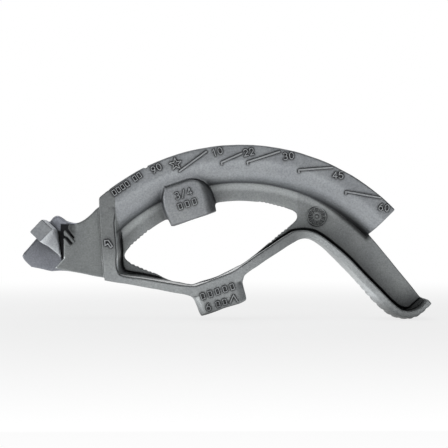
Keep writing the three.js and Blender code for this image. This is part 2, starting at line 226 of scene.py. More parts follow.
# ---- frame: post, rail, spoke, foot and toe as one band ----
# X, Z and a third number at sharp corners. The edge outline holds at the band's two faces, the
# crown outline at mid thickness; they share the rail's underside and the top from toe to rail.
FRAME_UNDER = [
    (-82.48, 84.84, 1), (-82.35, 73.16), (-78.79, 25.18, 1), (-72.45, 23.99), (-64.53, 22.74),
    (-56.61, 21.42), (-48.69, 19.96), (-40.77, 18.51), (-32.85, 16.99), (-24.93, 15.61),
    (-20.31, 14.22, 1), (-13.71, 14.88, 1), (8.07, 22.8, 1), (12.82, 26.1), (13.48, 27.88),
    (15.66, 30.06), (18.63, 32.24), (22.59, 34.75), (26.55, 37.59), (30.51, 40.23),
    (34.47, 42.67), (38.43, 45.18), (42.39, 47.82),
]
FRAME_OVER = [
    (136.78, 10.04, 1), (134.28, 12.87, 1), (133.03, 10.43), (129.87, 7.28), (126.91, 5.57),
    (122.5, 4.58), (117.7, 5.5), (112.9, 8.92), (104.94, 16.81), (93.82, 28.06), (82.77, 39.58),
    (77.38, 44.44), (72.51, 48.39), (67.31, 52.4), (61, 56.22), (56.81, 57.66), (52.25, 58.25),
    (47.34, 57.85), (39.95, 53.89), (30.51, 47.49), (19.62, 40.49), (11.04, 34.55),
    (4.77, 30.52), (0.15, 28.41), (-9.09, 25.18), (-15.69, 22.6), (-19.65, 21.48),
]
FRAME_EDGE = FRAME_UNDER + [
    (46.35, 50.32), (50.27, 52.58), (54.17, 53.64), (58.04, 52.8), (61.99, 50.82),
    (67.25, 47.07), (74.48, 41.09), (80.08, 35.96), (85.01, 30.69), (90.6, 24.71),
    (96.19, 19.12), (101.78, 13.72), (106.72, 8.72), (110.01, 5.7), (113.3, 3.26),
    (117.24, 1.49), (121.19, 0.83), (125.14, 1.16), (129.08, 2.8), (133.03, 5.9),
] + FRAME_OVER + [
    (-24.93, 21.75), (-42.09, 24.39), (-55.29, 26.37), (-65.52, 27.82), (-68.49, 28.81),
    (-69.94, 31.12), (-71, 45.24), (-72.38, 63.52), (-72.38, 84.84, 1),
]
FRAME_CROWN = FRAME_UNDER + [
    (46.64, 50.38), (50.87, 52.19), (55.15, 52.68), (59.17, 51.47), (63.2, 48.85),
    (67.22, 45.63), (71.24, 41.81), (75.27, 37.79), (79.29, 33.63), (83.32, 29.4),
    (87.34, 25.11), (91.36, 20.68), (95.39, 15.86), (99.41, 11.3), (103.44, 7.41),
    (107.46, 3.85), (111.48, 1.17), (115.51, -0.37), (119.53, -0.98), (123.56, -0.98),
    (127.25, -0.17), (129.32, 0.91), (131.71, 4.38),
] + FRAME_OVER + [
    (-24.93, 22.14), (-41.83, 25.84), (-54.89, 28.48), (-64.53, 30.19), (-66.51, 30.99),
    (-67.7, 33.1), (-68.62, 45.24), (-69.88, 63.52), (-69.88, 84.84, 1),
]
# treads across the underside of the foot: X, Z, depth
TREADS = [
    (73.93, 39.2, 0.05), (77.41, 35.64, 0.06), (80.9, 31.89, 0.08), (84.32, 28.26, 0.12),
    (87.74, 24.64, 0.2), (91.1, 21.02, 0.35), (94.32, 17.2, 0.7), (97.6, 13.31, 0.95),
    (101.89, 8.75, 0.95), (106.59, 4.32, 0.9), (111.48, 0.97, 0.8), (116.72, -0.84, 0.7),
    (122.22, -1.31, 0.7), (126.46, 0.24, 0.8), (130.46, 2.53, 0.8), (133.89, 6.2, 0.8),
]
TREAD_R = 1.6
CROWN_POWER = 2.2  # how squarely the crown falls off to the band's faces


def make_frame():
    """Joins the band and returns its edge and crown distances for the web."""
    box, x, y, z = window(-86, 139, -3, 117)
    edge = area_distance(outline(FRAME_EDGE), x, z)
    crown = area_distance(outline(FRAME_CROWN), x, z)
    half = HALF + (FOOT_HALF - HALF) * ramp(x, 30, 62)
    middle = 1 - np.clip(np.abs(y) / half, 0, 1) ** CROWN_POWER
    band = edge + (crown - edge) * middle
    for tread_x, tread_z, depth in TREADS:
        away = np.hypot(x - tread_x, z - tread_z)
        fade = 1 - 0.1 * ramp(np.abs(y), 15.5, 18.5)
        band = band + depth * np.clip(1 - away / TREAD_R, 0, 1) * fade
    band = meet(band, np.abs(y) - half, EDGE_R)
    radius = bend_radius(x, z)
    band = smooth_max(band, radius - RIM_R, EDGE_R)
    # the fillet stops at the shoe and at the side of the post
    post_side = -72.4 + 2.0 * np.clip((63.5 - z) / 32.4, 0, 1)
    fillet = 3.0 * (1 - ramp(radius, 128.5, 132.5)) * ramp(x - post_side, -2.5, -0.3)
    join(box, band, fillet)
    return edge, crown


# ---- web, thickened where it runs into the shoe and grooved beside the flanges ----
WEB = [
    (-76.04, 78.44, 1), (-74.7, 25.64, 1), (-20.57, 17.62, 1), (8.17, 26.98, 1),
    (25.55, 39.68, 1), (50.94, 55.72, 1), (62.97, 53.05, 1), (116.44, 3.59, 1), (120.78, 5.06),
    (124.12, 7.07), (126.8, 9.47), (131.47, 13.35, 1), (125.13, 21.23), (118.44, 29.32),
    (112.43, 36.87), (106.41, 44.02), (97.06, 55.32, 1), (77.67, 85.12, 1), (10.84, 111.86, 1),
    (-49.31, 91.81, 1),
]
ROOT = [
    (112.66, 11.5, 1), (115.34, 0.79, 1), (123.38, 0.45, 1), (133.76, 6.48, 1), (134.49, 10.7),
    (131.41, 13.92, 1), (123.38, 14.18, 1),
]
ROOT_HALF = 1.5


def make_web(edge, crown):
    box, x, y, z = window(-86, 139, -3, 117)
    radius, angle = bend_radius(x, z), bend_angle(x, z)
    web = area_distance(outline(WEB), x, z)
    web = np.maximum(web, np.minimum(radius - 124.0, (50.0 - angle) * 2.0))
    thick = WEB_HALF + 0.3 * np.clip(radius - 112.2, 0, 5.5) * (1 - ramp(angle, 26, 41))
    # the groove beside the flanges is deeper on the foot and runs out at the shoe
    foot = ramp(x, 50, 62)
    groove = 1 - np.clip((np.minimum(edge, crown) - (0.45 + 0.75 * foot)) / 0.9, 0, 1)
    shoe = ramp(radius, 110.0, 114.0) * ramp(x, -66, -60) * (1 - ramp(angle, 44.5, 47.0))
    thick = thick - (1.1 + 0.6 * foot) * groove * (1 - shoe)
    join(box, meet(web, np.abs(y) - thick, 0.5), blend=0.7)
    # a thinner root carries the web on into the toe
    root = area_distance(outline(ROOT), x, z)
    join(box, meet(root, np.abs(y) - ROOT_HALF, 0.4), blend=0.6)


# ---- opening between the rail and the arc, with toothed edges ----
HOLE = [
    (-66.75, 41.02), (-65.88, 43.56), (-63.34, 46.76), (-61, 48.97), (-57.33, 52.11),
    (-53.32, 55.52), (-49.31, 58.79), (-45.3, 61.53), (-41.29, 64.01), (-35.94, 66.75),
    (-29.26, 69.82), (-22.57, 72.29), (-15.89, 74.23), (-9.21, 75.77), (-1.19, 77.17),
    (4.16, 77.71), (10.84, 77.97), (17.53, 77.77), (22.87, 77.24), (30.89, 75.84),
    (37.58, 74.23), (42.92, 72.69), (46.4, 71.36), (48.54, 69.62), (49.2, 67.61),
    (48.67, 65.61), (46.93, 63.54), (42.92, 60.26), (38.91, 57.12), (34.9, 53.78),
    (30.89, 50.31), (26.88, 46.96), (22.87, 43.56), (18.86, 40.41), (14.85, 37.41),
    (10.84, 34.73), (6.83, 32.19), (2.82, 30.06), (-1.19, 28.59), (-5.2, 27.18),
    (-13.22, 24.24), (-17.23, 22.57), (-19.9, 21.84), (-23.24, 22.04), (-29.26, 23.31),
    (-34.6, 24.24), (-39.28, 25.98), (-45.3, 28.99), (-49.31, 30.59), (-53.32, 32.26),
    (-57.33, 34.13), (-61.34, 35.8), (-64.34, 37.41), (-66.15, 39.14),
]
# runs of teeth: start, end, pitch, depth
TEETH = [
    ((-63.21, 36.60), (-47.51, 29.85), 3.05, 0.62),
    ((-63.01, 46.76), (-49.64, 58.12), 2.95, 0.62),
    ((22.87, 76.97), (42.26, 72.83), 2.70, 0.50),
    ((30.56, 49.57), (43.93, 60.66), 2.75, 0.62),
]


def cut_opening():
    box, x, y, z = window(-76, 60, 15, 90)
    hole = area_distance(outline(HOLE), x, z)
    for (ax, az), (bx, bz), pitch, depth in TEETH:
        length = math.hypot(bx - ax, bz - az)
        dir_x, dir_z = (bx - ax) / length, (bz - az) / length
        run = (x - ax) * dir_x + (z - az) * dir_z
        aside = (x - ax) * dir_z - (z - az) * dir_x
        fade = ramp(run, -1.0, 1.0) * (1 - ramp(run, length - 1.0, length + 1.0))
        fade = fade * (1 - ramp(np.abs(aside), 3.5, 6.0))
        saw = np.abs((run / pitch) % 1.0 - 0.5) * 2
        hole = hole - depth * (1 - saw) * fade
    cut(box, hole, blend=0.9)


# ---- bosses on the handle's axis ----
SOCKET = [
    (-38.86, 86.16, 1), (-30.21, 88.87), (-22.29, 91.51), (-18.2, 91.31), (-14.5, 89.99),
    (-11.6, 87.75), (-9.22, 84.71), (-6.98, 79.96), (-5.53, 75.8), (-4.67, 70.98, 1),
    (-34.7, 60.29, 1), (-37.67, 64.91), (-40.18, 74.28), (-40.31, 78.9),
]
SOCKET_LEFT_R = 3.2  # rounding of the upper boss's long edges
SOCKET_RIGHT_R = 8.0
SOCKET_EXTRA = 0.15  # added to the upper boss's section all round
COLLAR = [
    (-19.25, 21.48, 1), (2.53, 29.67, 1), (11.04, 33.96, 1), (13.09, 28.74), (12.69, 25.84),
    (12.95, 23.33), (14.14, 18.51), (15.33, 13.83), (15.07, 12.11), (13.48, 11.12),
    (0.81, 6.83), (-12.92, 1.95), (-14.83, 1.42), (-15.95, 2.47), (-17.93, 7.36),
    (-20.05, 12.64), (-20.77, 14.75), (-20.57, 17.52),
]


def make_upper_boss():
    box, x, y, z = window(-50, 5, 50, 96)
    up, across = local_frame(x, z, HANDLE_UP, UP, ACROSS)
    body = 15.9 + 0.9 * ramp(up, 0, 14)
    side = np.abs(across) - body - SOCKET_EXTRA
    face = np.abs(y) - HALF - SOCKET_EXTRA
    section = np.where(
        across > 0, meet(side, face, SOCKET_RIGHT_R), meet(side, face, SOCKET_LEFT_R)
    )
    boss = smooth_max(area_distance(outline(SOCKET), x, z) - 0.3, section, 1.8)
    join(box, meet(boss, -up - 0.1, 1.0), blend=2.6)


def make_lower_boss():
    box, x, y, z = window(-26, 24, -2, 40)
    up, across = local_frame(x, z, HANDLE_LOW, UP, ACROSS)
    body = 16.7 + 1.0 * ramp(up, 0, 14)
    section = meet(np.abs(across) - body, np.abs(y) - HALF, 7.0)
    boss = smooth_max(area_distance(outline(COLLAR), x, z), section, 1.6)
    join(box, boss, blend=2.8 * (1 - ramp(np.abs(y), 11.5, 15.2)))


# ---- hook ----
PANEL = [
    (-80.5, 78.27, 1), (-80.5, 74.96, 1), (-83.01, 73.18), (-84.99, 71.52), (-87.44, 69.14),
    (-89.89, 66.9), (-92.4, 65.11), (-94.71, 63.92), (-97.03, 63.13), (-100.33, 62.67),
    (-105.95, 62.93, 1), (-105.95, 39.66, 1), (-111.83, 33.12, 1), (-78.85, 26.84, 1),
    (-76.53, 27.37, 1), (-76.53, 78.27, 1),
]
PLATE = [
    (-81.28, 76.65, 1), (-85.02, 73.8), (-86.71, 72.58), (-89.77, 69.39), (-92.28, 67.08),
    (-94.86, 65.18), (-97.23, 63.83), (-100.28, 63.08), (-104.02, 63.56), (-107.07, 64.71),
    (-109.45, 66.47), (-111.48, 67.7), (-113.31, 68.1), (-115.08, 67.42), (-117.79, 64.37),
    (-122.68, 58.33), (-127.63, 52.29), (-132.86, 45.91), (-136.25, 41.84), (-136.79, 40.69),
    (-136.39, 39.6), (-130.82, 33.22, 1), (-116.91, 30.37, 1), (-113.86, 30.58),
    (-81.28, 25.82, 1), (-78.57, 26.44, 1), (-78.57, 76.65, 1),
]
PLATE_Y = 14.25  # middle of the plate, and its half thickness
PLATE_HALF = 2.25
SLOTS = [
    [(-109.59, 66.37, 1), (-102.71, 66.37, 1), (-102.58, 62.4, 1), (-103.11, 58.9, 1),
     (-101.26, 56.32, 1), (-98.88, 53.68, 1), (-99.41, 52.88, 1), (-102.05, 55.2, 1),
     (-105.35, 58.11, 1), (-109.59, 58.77, 1)],
    [(-107.93, 55.53, 1), (-105.88, 55, 1), (-101.98, 52.09, 1), (-99.93, 49.84, 1),
     (-100.46, 49.18, 1), (-104.1, 51.36, 1), (-106.15, 53.61, 1), (-107.93, 54.07, 1)],
]
# ribs beside the slots: start, end, radius
SLOT_RIBS = [
    ((-104.69, 56.98), (-99.41, 50.57), 1.15),
    ((-105.02, 52.09), (-102.12, 48.12), 1.05),
]
# the saddle bar's section: Y, distance out of the groove
SADDLE_SECTION = [
    (-14, 26.4, 1), (-14, 17.3, 1), (-10.5, 15.6), (-4, 13.6), (2, 12.2), (6.5, 10), (9.4, 6.8),
    (10.9, 3), (11.3, -0.8, 1), (13, -0.8, 1), (13, 24.6, 1), (6, 26.4, 1),
]
SADDLE_AT = 29.9  # distance along the hook, and half length
SADDLE_HALF = 5.9
GUSSET_AT = (25.3, 14.9)  # along, out
GUSSET_FACING = (-0.787, -0.618)
GRIP_RIBS = {"grip_rib_1": 18.6, "grip_rib_2": 22.2}  # distance along the hook
GRIP_RIB_RISE = 1.15
GRIP_RIB_HALF = 1.1


def make_trough(x, y, z, groove, along):
    """The hook's walls, open along the straight groove and the start of the bend."""
    trough = meet(area_distance(outline(PANEL), x, z), np.abs(y + 1.15) - 13.45, 1.2)
    # the marked wall dishes in towards the slots
    dish = np.exp(-(((x + 99.6) / 2.6) ** 2 + ((z - 58.9) / 4.2) ** 2))
    trough = trough + 1.15 * dish * ramp(-y, 8, 13)
    straight = np.maximum(groove, -along - 0.5)
    curved = np.maximum(u_section(bend_radius(x, z) - BEND_R, y, GROOVE_R), along - 0.5)
    trough = smooth_max(trough, -np.minimum(straight, curved), 0.8)
    for slot_outline in SLOTS:
        slot = area_distance(outline(slot_outline), x, z)
        trough = smooth_max(trough, -meet(slot, np.abs(y + 14) - 6.5, 0.4), 0.7)
    for start, end, radius in SLOT_RIBS:
        away = line_distance([[start, end]], x, z)
        rib = np.maximum(np.hypot(away, y + 14.3) - radius, y + 12.6)
        trough = smooth_min(trough, rib, 0.35)
    return trough


def make_hook():
    box, x, y, z = window(-139, -70, 24, 84)
    along, out = local_frame(x, z, START, ALONG, OUT)
    groove = u_section(out, y, GROOVE_R)
    trough = make_trough(x, y, z, groove, along)
    plate = meet(area_distance(outline(PLATE), x, z), np.abs(y - PLATE_Y) - PLATE_HALF, 1.5)
    # the saddle bar runs from the marked side over the conduit to the plate
    bar = area_distance(outline(SADDLE_SECTION), y, out)
    bar = smooth_max(bar, np.abs(along - SADDLE_AT) - SADDLE_HALF, 0.8)
    gusset = (along - GUSSET_AT[0]) * GUSSET_FACING[0] + (out - GUSSET_AT[1]) * GUSSET_FACING[1]
    bar = smooth_max(bar, gusset, 0.8)
    hook = smooth_min(np.minimum(trough, plate), bar, 1.4)
    # grip ribs on the groove's +Y wall
    for rib_at in GRIP_RIBS.values():
        rib = all_of(
            groove - 0.6, -GRIP_RIB_RISE - groove, 3.0 - y,
            np.abs(along - rib_at) - GRIP_RIB_HALF, out - 6.5,
        )
        hook = smooth_min(hook, rib, 0.5)
    join(box, np.maximum(hook, x + 79.0), blend=0.9)


# ---- the conduit groove through shoe and post ----
NOTCH_ANGLE = -26.2


def cut_groove():
    box, x, y, z = window(-90, 139, 40, 117)
    radius, angle = bend_radius(x, z), bend_angle(x, z)
    along, _ = local_frame(x, z, START, ALONG, OUT)
    groove = u_section(radius - BEND_R, y, GROOVE_R)
    cut(box, all_of(groove, along - 2.0, (angle - SHOE_END - 0.9) * 2.0), blend=1.0)
    # sighting notch in the marked-side rim
    cut(box, all_of(np.abs(angle - NOTCH_ANGLE) * 2.4 - 1.1, 141.6 - radius, y), blend=0.5)


# ---- bores for the handle ----
LOWER_BORE_R = 13.6
CHAMFER = 1.4
UPPER_BORE_R = 12.1
THREAD_PITCH = 1.81
THREAD_DEPTH = 0.5


def cut_bores():
    box, x, y, z = window(-26, 24, -3, 42)
    up, across = local_frame(x, z, HANDLE_LOW, UP, ACROSS)
    chamfer = CHAMFER - np.clip(up + 0.2, 0, CHAMFER)
    cut(box, np.hypot(across, y) - LOWER_BORE_R - chamfer, blend=0.8)

    box, x, y, z = window(-50, 5, 44, 96)
    up, across = local_frame(x, z, HANDLE_UP, UP, ACROSS)
    turn = np.arctan2(y, across) / (2 * math.pi)
    thread = THREAD_DEPTH * np.abs(((up / THREAD_PITCH - turn) % 1.0) - 0.5) * 2
    bore = np.hypot(across, y) - UPPER_BORE_R - thread - np.clip(1.8 - up, 0, 6.0)
    cut(box, all_of(bore, up - 16.0, -12.0 - up), blend=0.4)


# ---- raised dial on the web ----
DIAL = (62.24, 67.41)
DIAL_REACH = 9  # half side of the sub-box around it
DIAL_RIM_R = 6.1
DIAL_SPOKES = 12
DIAL_HUB_R = 1.2
DIAL_RISE = 0.85


def make_dial():
    box, x, y, z = window(
        DIAL[0] - DIAL_REACH, DIAL[0] + DIAL_REACH, DIAL[1] - DIAL_REACH, DIAL[1] + DIAL_REACH,
        -9, 0,
    )
    away = np.hypot(x - DIAL[0], z - DIAL[1])
    rim = np.abs(away - DIAL_RIM_R) - 0.42
    turn = np.arctan2(z - DIAL[1], x - DIAL[0]) / (2 * math.pi)
    spoke = np.abs(((turn * DIAL_SPOKES) % 1.0) - 0.5) * (2 * math.pi / DIAL_SPOKES) * away
    spoke = np.maximum(spoke - 0.34, np.abs(away - 4.3) - 1.2)
    relief = np.minimum(np.minimum(rim, spoke), away - DIAL_HUB_R)
    join(box, meet(relief, np.abs(y + WEB_HALF) - DIAL_RISE, 0.15), blend=0.3)


# ---- cast waviness, only near the skin ----
# wavelength, height
WAVES = (
    (23.0, 0.05), (17.0, 0.035), (11.0, 0.02), (7.0, 0.011),
    (4.5, 0.008), (3.2, 0.006), (2.3, 0.005), (1.7, 0.004),
)
WAVE_SEED = 11


def add_waviness():
    near = np.abs(field) < 1.6
    x, y, z = (axis[i] for axis, i in zip(AXES, np.nonzero(near)))
    wave = np.zeros(len(x), f32)
    rng = np.random.RandomState(WAVE_SEED)
    for length, height in WAVES:
        facing = rng.randn(3)
        facing = facing / np.linalg.norm(facing) * (2 * math.pi / length)
        phase = x * f32(facing[0]) + y * f32(facing[1]) + z * f32(facing[2])
        wave += f32(height) * np.sin(phase + f32(rng.rand() * 6.28)).astype(f32)
    field[near] += wave


make_shoe()
make_web(*make_frame())
cut_opening()
make_upper_boss()
make_lower_boss()
make_hook()
cut_groove()
cut_bores()
make_dial()
add_waviness()


# ---- from field to mesh ----
def sample(points):
    """Trilinear value of the field at points in millimetres."""
    cells = (points - np.array(GRID_START)) / CELL
    low = np.clip(np.floor(cells).astype(int), 0, np.array(field.shape) - 2)
    along_x, along_y, along_z = np.clip(cells - low, 0, 1).T

    def corner(a, b, c):
        return field[low[:, 0] + a, low[:, 1] + b, low[:, 2] + c]

    def lerp(a, b, t):
        return a + (b - a) * t

    def layer(c):
        near = lerp(corner(0, 0, c), corner(1, 0, c), along_x)
        far = lerp(corner(0, 1, c), corner(1, 1, c), along_x)
        return lerp(near, far, along_y)

    return lerp(layer(0), layer(1), along_z)


def slope(points):
    """Unit gradient of the field at points in millimetres."""
    gradient = []
    for axis in range(3):
        offset = np.zeros(3)
        offset[axis] = 0.9 * CELL
        gradient.append(sample(points + offset) - sample(points - offset))
    gradient = np.stack(gradient, 1)
    return gradient / np.maximum(np.linalg.norm(gradient, axis=1, keepdims=True), 1e-9)


def add(name, data):
    obj = bpy.data.objects.new(name, data)
    bpy.context.scene.collection.objects.link(obj)
    return obj


def skin(name, grid, cell, start):
    """An object on a field's zero surface, in metres and facing out."""
    clip = 3.0 * cell
    volume_grid = vdb.FloatGrid(clip)
    volume_grid.copyFromArray(np.clip(grid, -clip, clip))
    points, tris, quads = volume_grid.convertToPolygons(isovalue=0.0, adaptivity=0.0)
    points = np.asarray(points, np.float64) * cell + np.array(start)
    tris = np.asarray(tris, np.int64).reshape(-1, 3)
    quads = np.asarray(quads, np.int64).reshape(-1, 4)

    def volume(faces):
        a, b, c = points[faces[:, 0]], points[faces[:, 1]], points[faces[:, 2]]
        return float(np.einsum("ij,ij->i", a, np.cross(b, c)).sum())

    # turn every face out, whichever way the mesher wound them
    if volume(tris) + volume(quads[:, :3]) + volume(quads[:, [0, 2, 3]]) < 0:
        tris, quads = tris[:, ::-1], quads[:, ::-1]
    mesh = bpy.data.meshes.new(name)
    mesh.vertices.add(len(points))
    mesh.vertices.foreach_set("co", (points * MM).astype(f32).ravel())
    loops = np.concatenate([tris.ravel(), quads.ravel()]).astype(np.int32)
    sizes = np.concatenate([np.full(len(tris), 3), np.full(len(quads), 4)])
    mesh.loops.add(len(loops))
    mesh.loops.foreach_set("vertex_index", loops)
    mesh.polygons.add(len(sizes))
    starts = np.concatenate([[0], np.cumsum(sizes)[:-1]]).astype(np.int32)
    mesh.polygons.foreach_set("loop_start", starts)
    mesh.update(calc_edges=True)
    mesh.validate()
    return add(name, mesh)


# ---- cutters ----
def cutter_object(verts, faces):
    mesh = bpy.data.meshes.new("cutter")
    mesh.from_pydata(verts, [], faces)
    return add("cutter", mesh)


def prism(points, y0=-40, y1=40):
    """A closed prism on an X, Z outline."""
    base = np.array(points, float)
    x, z = base[:, 0], base[:, 1]
    if np.sum(x * np.roll(z, -1) - np.roll(x, -1) * z) < 0:
        base = base[::-1]
    n = len(base)
    verts = [(a * MM, depth * MM, b * MM) for depth in (y0, y1) for a, b in base]
    faces = [list(range(n)), list(range(2 * n - 1, n - 1, -1))]
    faces += [[(i + 1) % n, i, n + i, n + (i + 1) % n] for i in range(n)]
    return cutter_object(verts, faces)


def ring_cutter(profile, angle0, angle1, steps):
    """A closed sector swept about the bend centre from a profile of radius and Y."""
    verts, faces = [], []
    n = len(profile)
    for i in range(steps + 1):
        turn = math.radians(angle0 + (angle1 - angle0) * i / steps)
        for radius, y in profile:
            x = BEND[0] + radius * math.sin(turn)
            z = BEND[1] + radius * math.cos(turn)
            verts.append((x * MM, y * MM, z * MM))
    for i in range(steps):
        for j in range(n):
            k = (j + 1) % n
            faces.append([i * n + j, i * n + k, (i + 1) * n + k, (i + 1) * n + j])
    faces.append(list(range(n))[::-1])
    faces.append([steps * n + j for j in range(n)])
    return cutter_object(verts, faces)


def face_out(obj):
    bm = bmesh.new()
    bm.from_mesh(obj.data)
    bmesh.ops.recalc_face_normals(bm, faces=bm.faces)
    bm.to_mesh(obj.data)
    bm.free()


def boolean(obj, cutter, operation):
    modifier = obj.modifiers.new("cut", "BOOLEAN")
    modifier.operation = operation
    modifier.solver = "MANIFOLD"
    modifier.object = cutter
    bpy.context.view_layer.update()
    depsgraph = bpy.context.evaluated_depsgraph_get()
    mesh = bpy.data.meshes.new_from_object(obj.evaluated_get(depsgraph))
    obj.modifiers.clear()
    return mesh


def take(body, name, cutter):
    """Cuts the part of the body inside the cutter off as its own piece."""
    face_out(cutter)
    piece = add(name, boolean(body, cutter, "INTERSECT"))
    rest = boolean(body, cutter, "DIFFERENCE")
    old = body.data
    body.data = rest
    bpy.data.meshes.remove(old)
    mesh = cutter.data
    bpy.data.objects.remove(cutter)
    bpy.data.meshes.remove(mesh)
    return piece


# ---- where the casting is parted into the frame's nodes ----
FAR_X, LOW_Z, HIGH_Z = -160, -20, 140  # limits beyond the casting
POST_TOP = (-82.92, 73.16)  # the hook is parted from the post on this line
POST_FOOT = (-79.29, 25.31)
SADDLE_ZONE = [
    (-129.71, 75.38), (-109.46, 55.9), (-110.12, 53.62), (-109.43, 46.85), (-109.03, 37.3),
    (-114.16, 31.97), (-143.92, 60.61),
]
# each entry: node, name of its piece, X, Z outline; every cut is made on what is left
ZONES_BEFORE_SHOE = [
    ("front_post", "cast_post", [
        (FAR_X, LOW_Z), (-68.66, LOW_Z), (-68.66, 23.59), (-69.65, 31.12), (-71.63, 63.52),
        (-71.63, 84.84), (-71.63, HIGH_Z), (FAR_X, HIGH_Z)]),
    ("pedal_toe", "cast_toe", [
        (87.1, -7.96), (108.6, 13.96), (112.9, 9.67), (117.7, 6.38), (122.5, 5.46),
        (126.91, 6.45), (129.52, 8.16), (132.68, 11.32), (133.73, 13.82), (134.73, 19.82),
        (170, 19.82), (170, -30), (87.1, -30)]),
]
ZONES_AFTER_SHOE = [
    ("handle_socket", "cast_socket", [
        (-39.87, 85.78), (-20.04, 92.15), (-13.88, 91.13), (-8.62, 86.87), (-4.24, 75.67),
        (-3.57, 70.56), (-35.13, 59.02), (-38.58, 63.66), (-41.64, 74), (-41.81, 79)]),
    ("handle_collar", "cast_collar", [
        (-19.45, 24.78), (-19.72, 20.82), (-21.23, 13.56), (-22.62, -10.86), (25.23, -10.86),
        (16.25, 12.24), (14.41, 22.8), (14.41, 27.82), (11.63, 35.61), (10.71, 39.3)]),
    ("lower_rail", "cast_rail", [
        (-72.41, -30), (-72.41, 29.46), (-69.41, 29.46), (-65.52, 28.67), (-55.29, 27.22),
        (-42.09, 25.24), (-24.93, 22.6), (-19.25, 22.2), (-19.25, -30)]),
    ("spoke_flange", "cast_spoke", [
        (5.93, -30), (5.93, 33.04), (9.93, 35.04), (19.17, 41.24), (30.06, 48.24),
        (39.5, 54.64), (46.89, 58.6), (50.44, 58.99), (50.44, -30)]),
    ("pedal_plate", "cast_foot", [
        (42.44, 59.09), (52.44, 59.09), (57.06, 58.63), (61.35, 57.31), (67.86, 53),
        (73.06, 48.99), (77.93, 45.04), (83.32, 40.18), (94.37, 28.66), (105.49, 17.41),
        (111.21, 11.56), (111.21, -30), (42.44, -30)]),
    ("front_web", "cast_front_web", [
        (-100, 41.01), (-62.76, 41.01), (-30, 66), (-22, 66), (-22, 140), (-100, 140)]),
    ("rail_web", "cast_rail_web", [
        (-100, -30), (-18, -30), (-18, 38), (-40, 48), (-64.76, 43.01), (-100, 43.01)]),
    ("rear_web", "cast_rear_web", [
        (-22.5, 76), (20, 72), (43.21, 67.62), (49.21, 67.62), (49.21, 140), (-22.5, 140)]),
    ("spoke_web", "cast_spoke_web", [
        (-18.5, -30), (49.21, -30), (49.21, 68.62), (41.21, 68.62), (-18.5, 40)]),
]
SHOE_CUT_R = SHOE_R + 0.45  # the shoe's cutter clears its skin
SHOE_CUT_TOP = 150


def hook_point(along, out):
    return tuple(START[i] + along * ALONG[i] + out * OUT[i] for i in range(2))


casting = skin("casting", field, CELL, GRID_START)
pieces = {}

hook = take(casting, "hook_all", prism([
    (FAR_X, LOW_Z), (POST_FOOT[0], LOW_Z), POST_FOOT, POST_TOP, (POST_TOP[0], HIGH_Z),
    (FAR_X, HIGH_Z),
]))
plate_zone = [(FAR_X, LOW_Z), (-60, LOW_Z), (-60, HIGH_Z), (FAR_X, HIGH_Z)]
pieces["hook_back_plate"] = take(hook, "cast_back_plate", prism(plate_zone, y0=11.55))
pieces["hook_saddle"] = take(hook, "cast_saddle", prism(SADDLE_ZONE))
for node, rib_at in GRIP_RIBS.items():
    rib_start, rib_end = rib_at - 1.45, rib_at + 1.45
    zone = [hook_point(*q) for q in (
        (rib_start, -7.5), (rib_end, -7.5), (rib_end, 8), (rib_start, 8))]
    pieces[node] = take(hook, "cast_" + node, prism(zone, 5.5, 12.0))
pieces["hook_trough"] = hook
hook.name = "cast_trough"

for node, name, zone in ZONES_BEFORE_SHOE:
    pieces[node] = take(casting, name, prism(zone))
shoe_profile = [(SHOE_CUT_TOP, -SHOE_CUT_R)] + [
    (BEND_R - SHOE_CUT_R * math.cos(t), SHOE_CUT_R * math.sin(t))
    for t in np.linspace(-math.pi / 2, math.pi / 2, 17)
] + [(SHOE_CUT_TOP, SHOE_CUT_R)]
pieces["shoe_channel"] = take(
    casting, "cast_shoe", ring_cutter(shoe_profile, angle0=-52, angle1=SHOE_END + 0.2, steps=160)
)
for node, name, zone in ZONES_AFTER_SHOE:
    pieces[node] = take(casting, name, prism(zone))
pieces["pedal_web"] = casting
casting.name = "cast_foot_web"


# ---- finishing the skin ----
def drop_crumbs(mesh):
    """Keeps only the largest connected part of a cut piece."""
    bm = bmesh.new()
    bm.from_mesh(mesh)
    seen, islands = set(), []
    for seed in bm.verts:
        if seed in seen:
            continue
        seen.add(seed)
        island = [seed]
        for vert in island:  # grows while it is walked
            for edge in vert.link_edges:
                other = edge.other_vert(vert)
                if other not in seen:
                    seen.add(other)
                    island.append(other)
        islands.append(island)
    if len(islands) > 1:
        largest = max(islands, key=len)
        crumbs = [v for island in islands if island is not largest for v in island]
        bmesh.ops.delete(bm, geom=crumbs, context="VERTS")
        bm.to_mesh(mesh)
    bm.free()


def fetch(items, attribute, width=1, kind=f32):
    values = np.empty(len(items) * width, kind)
    items.foreach_get(attribute, values)
    return values.reshape(-1, width) if width > 1 else values


def smooth_skin(mesh):
    """Gives the skin the field's own normals, so that it stays smooth across the cuts."""
    vert_normal = slope(fetch(mesh.vertices, "co", 3).astype(np.float64) * 1000)
    face_normal = fetch(mesh.polygons, "normal", 3)
    centre = fetch(mesh.polygons, "center", 3).astype(np.float64) * 1000
    totals = fetch(mesh.polygons, "loop_total", kind=np.int32)
    aligned = np.einsum("ij,ij->i", face_normal, slope(centre)) > 0.55
    on_skin = aligned & (np.abs(sample(centre)) < 0.35)
    vert = fetch(mesh.loops, "vertex_index", kind=np.int32)
    face = np.repeat(np.arange(len(totals)), totals)
    normals = np.where(on_skin[face][:, None], vert_normal[vert], face_normal[face])
    flat = np.linalg.norm(normals, axis=1) < 0.5
    normals[flat] = face_normal[face][flat]
    mesh.polygons.foreach_set("use_smooth", np.ones(len(totals), bool))
    mesh.normals_split_custom_set(normals.astype(f32).tolist())


for piece in pieces.values():
    drop_crumbs(piece.data)
    smooth_skin(piece.data)


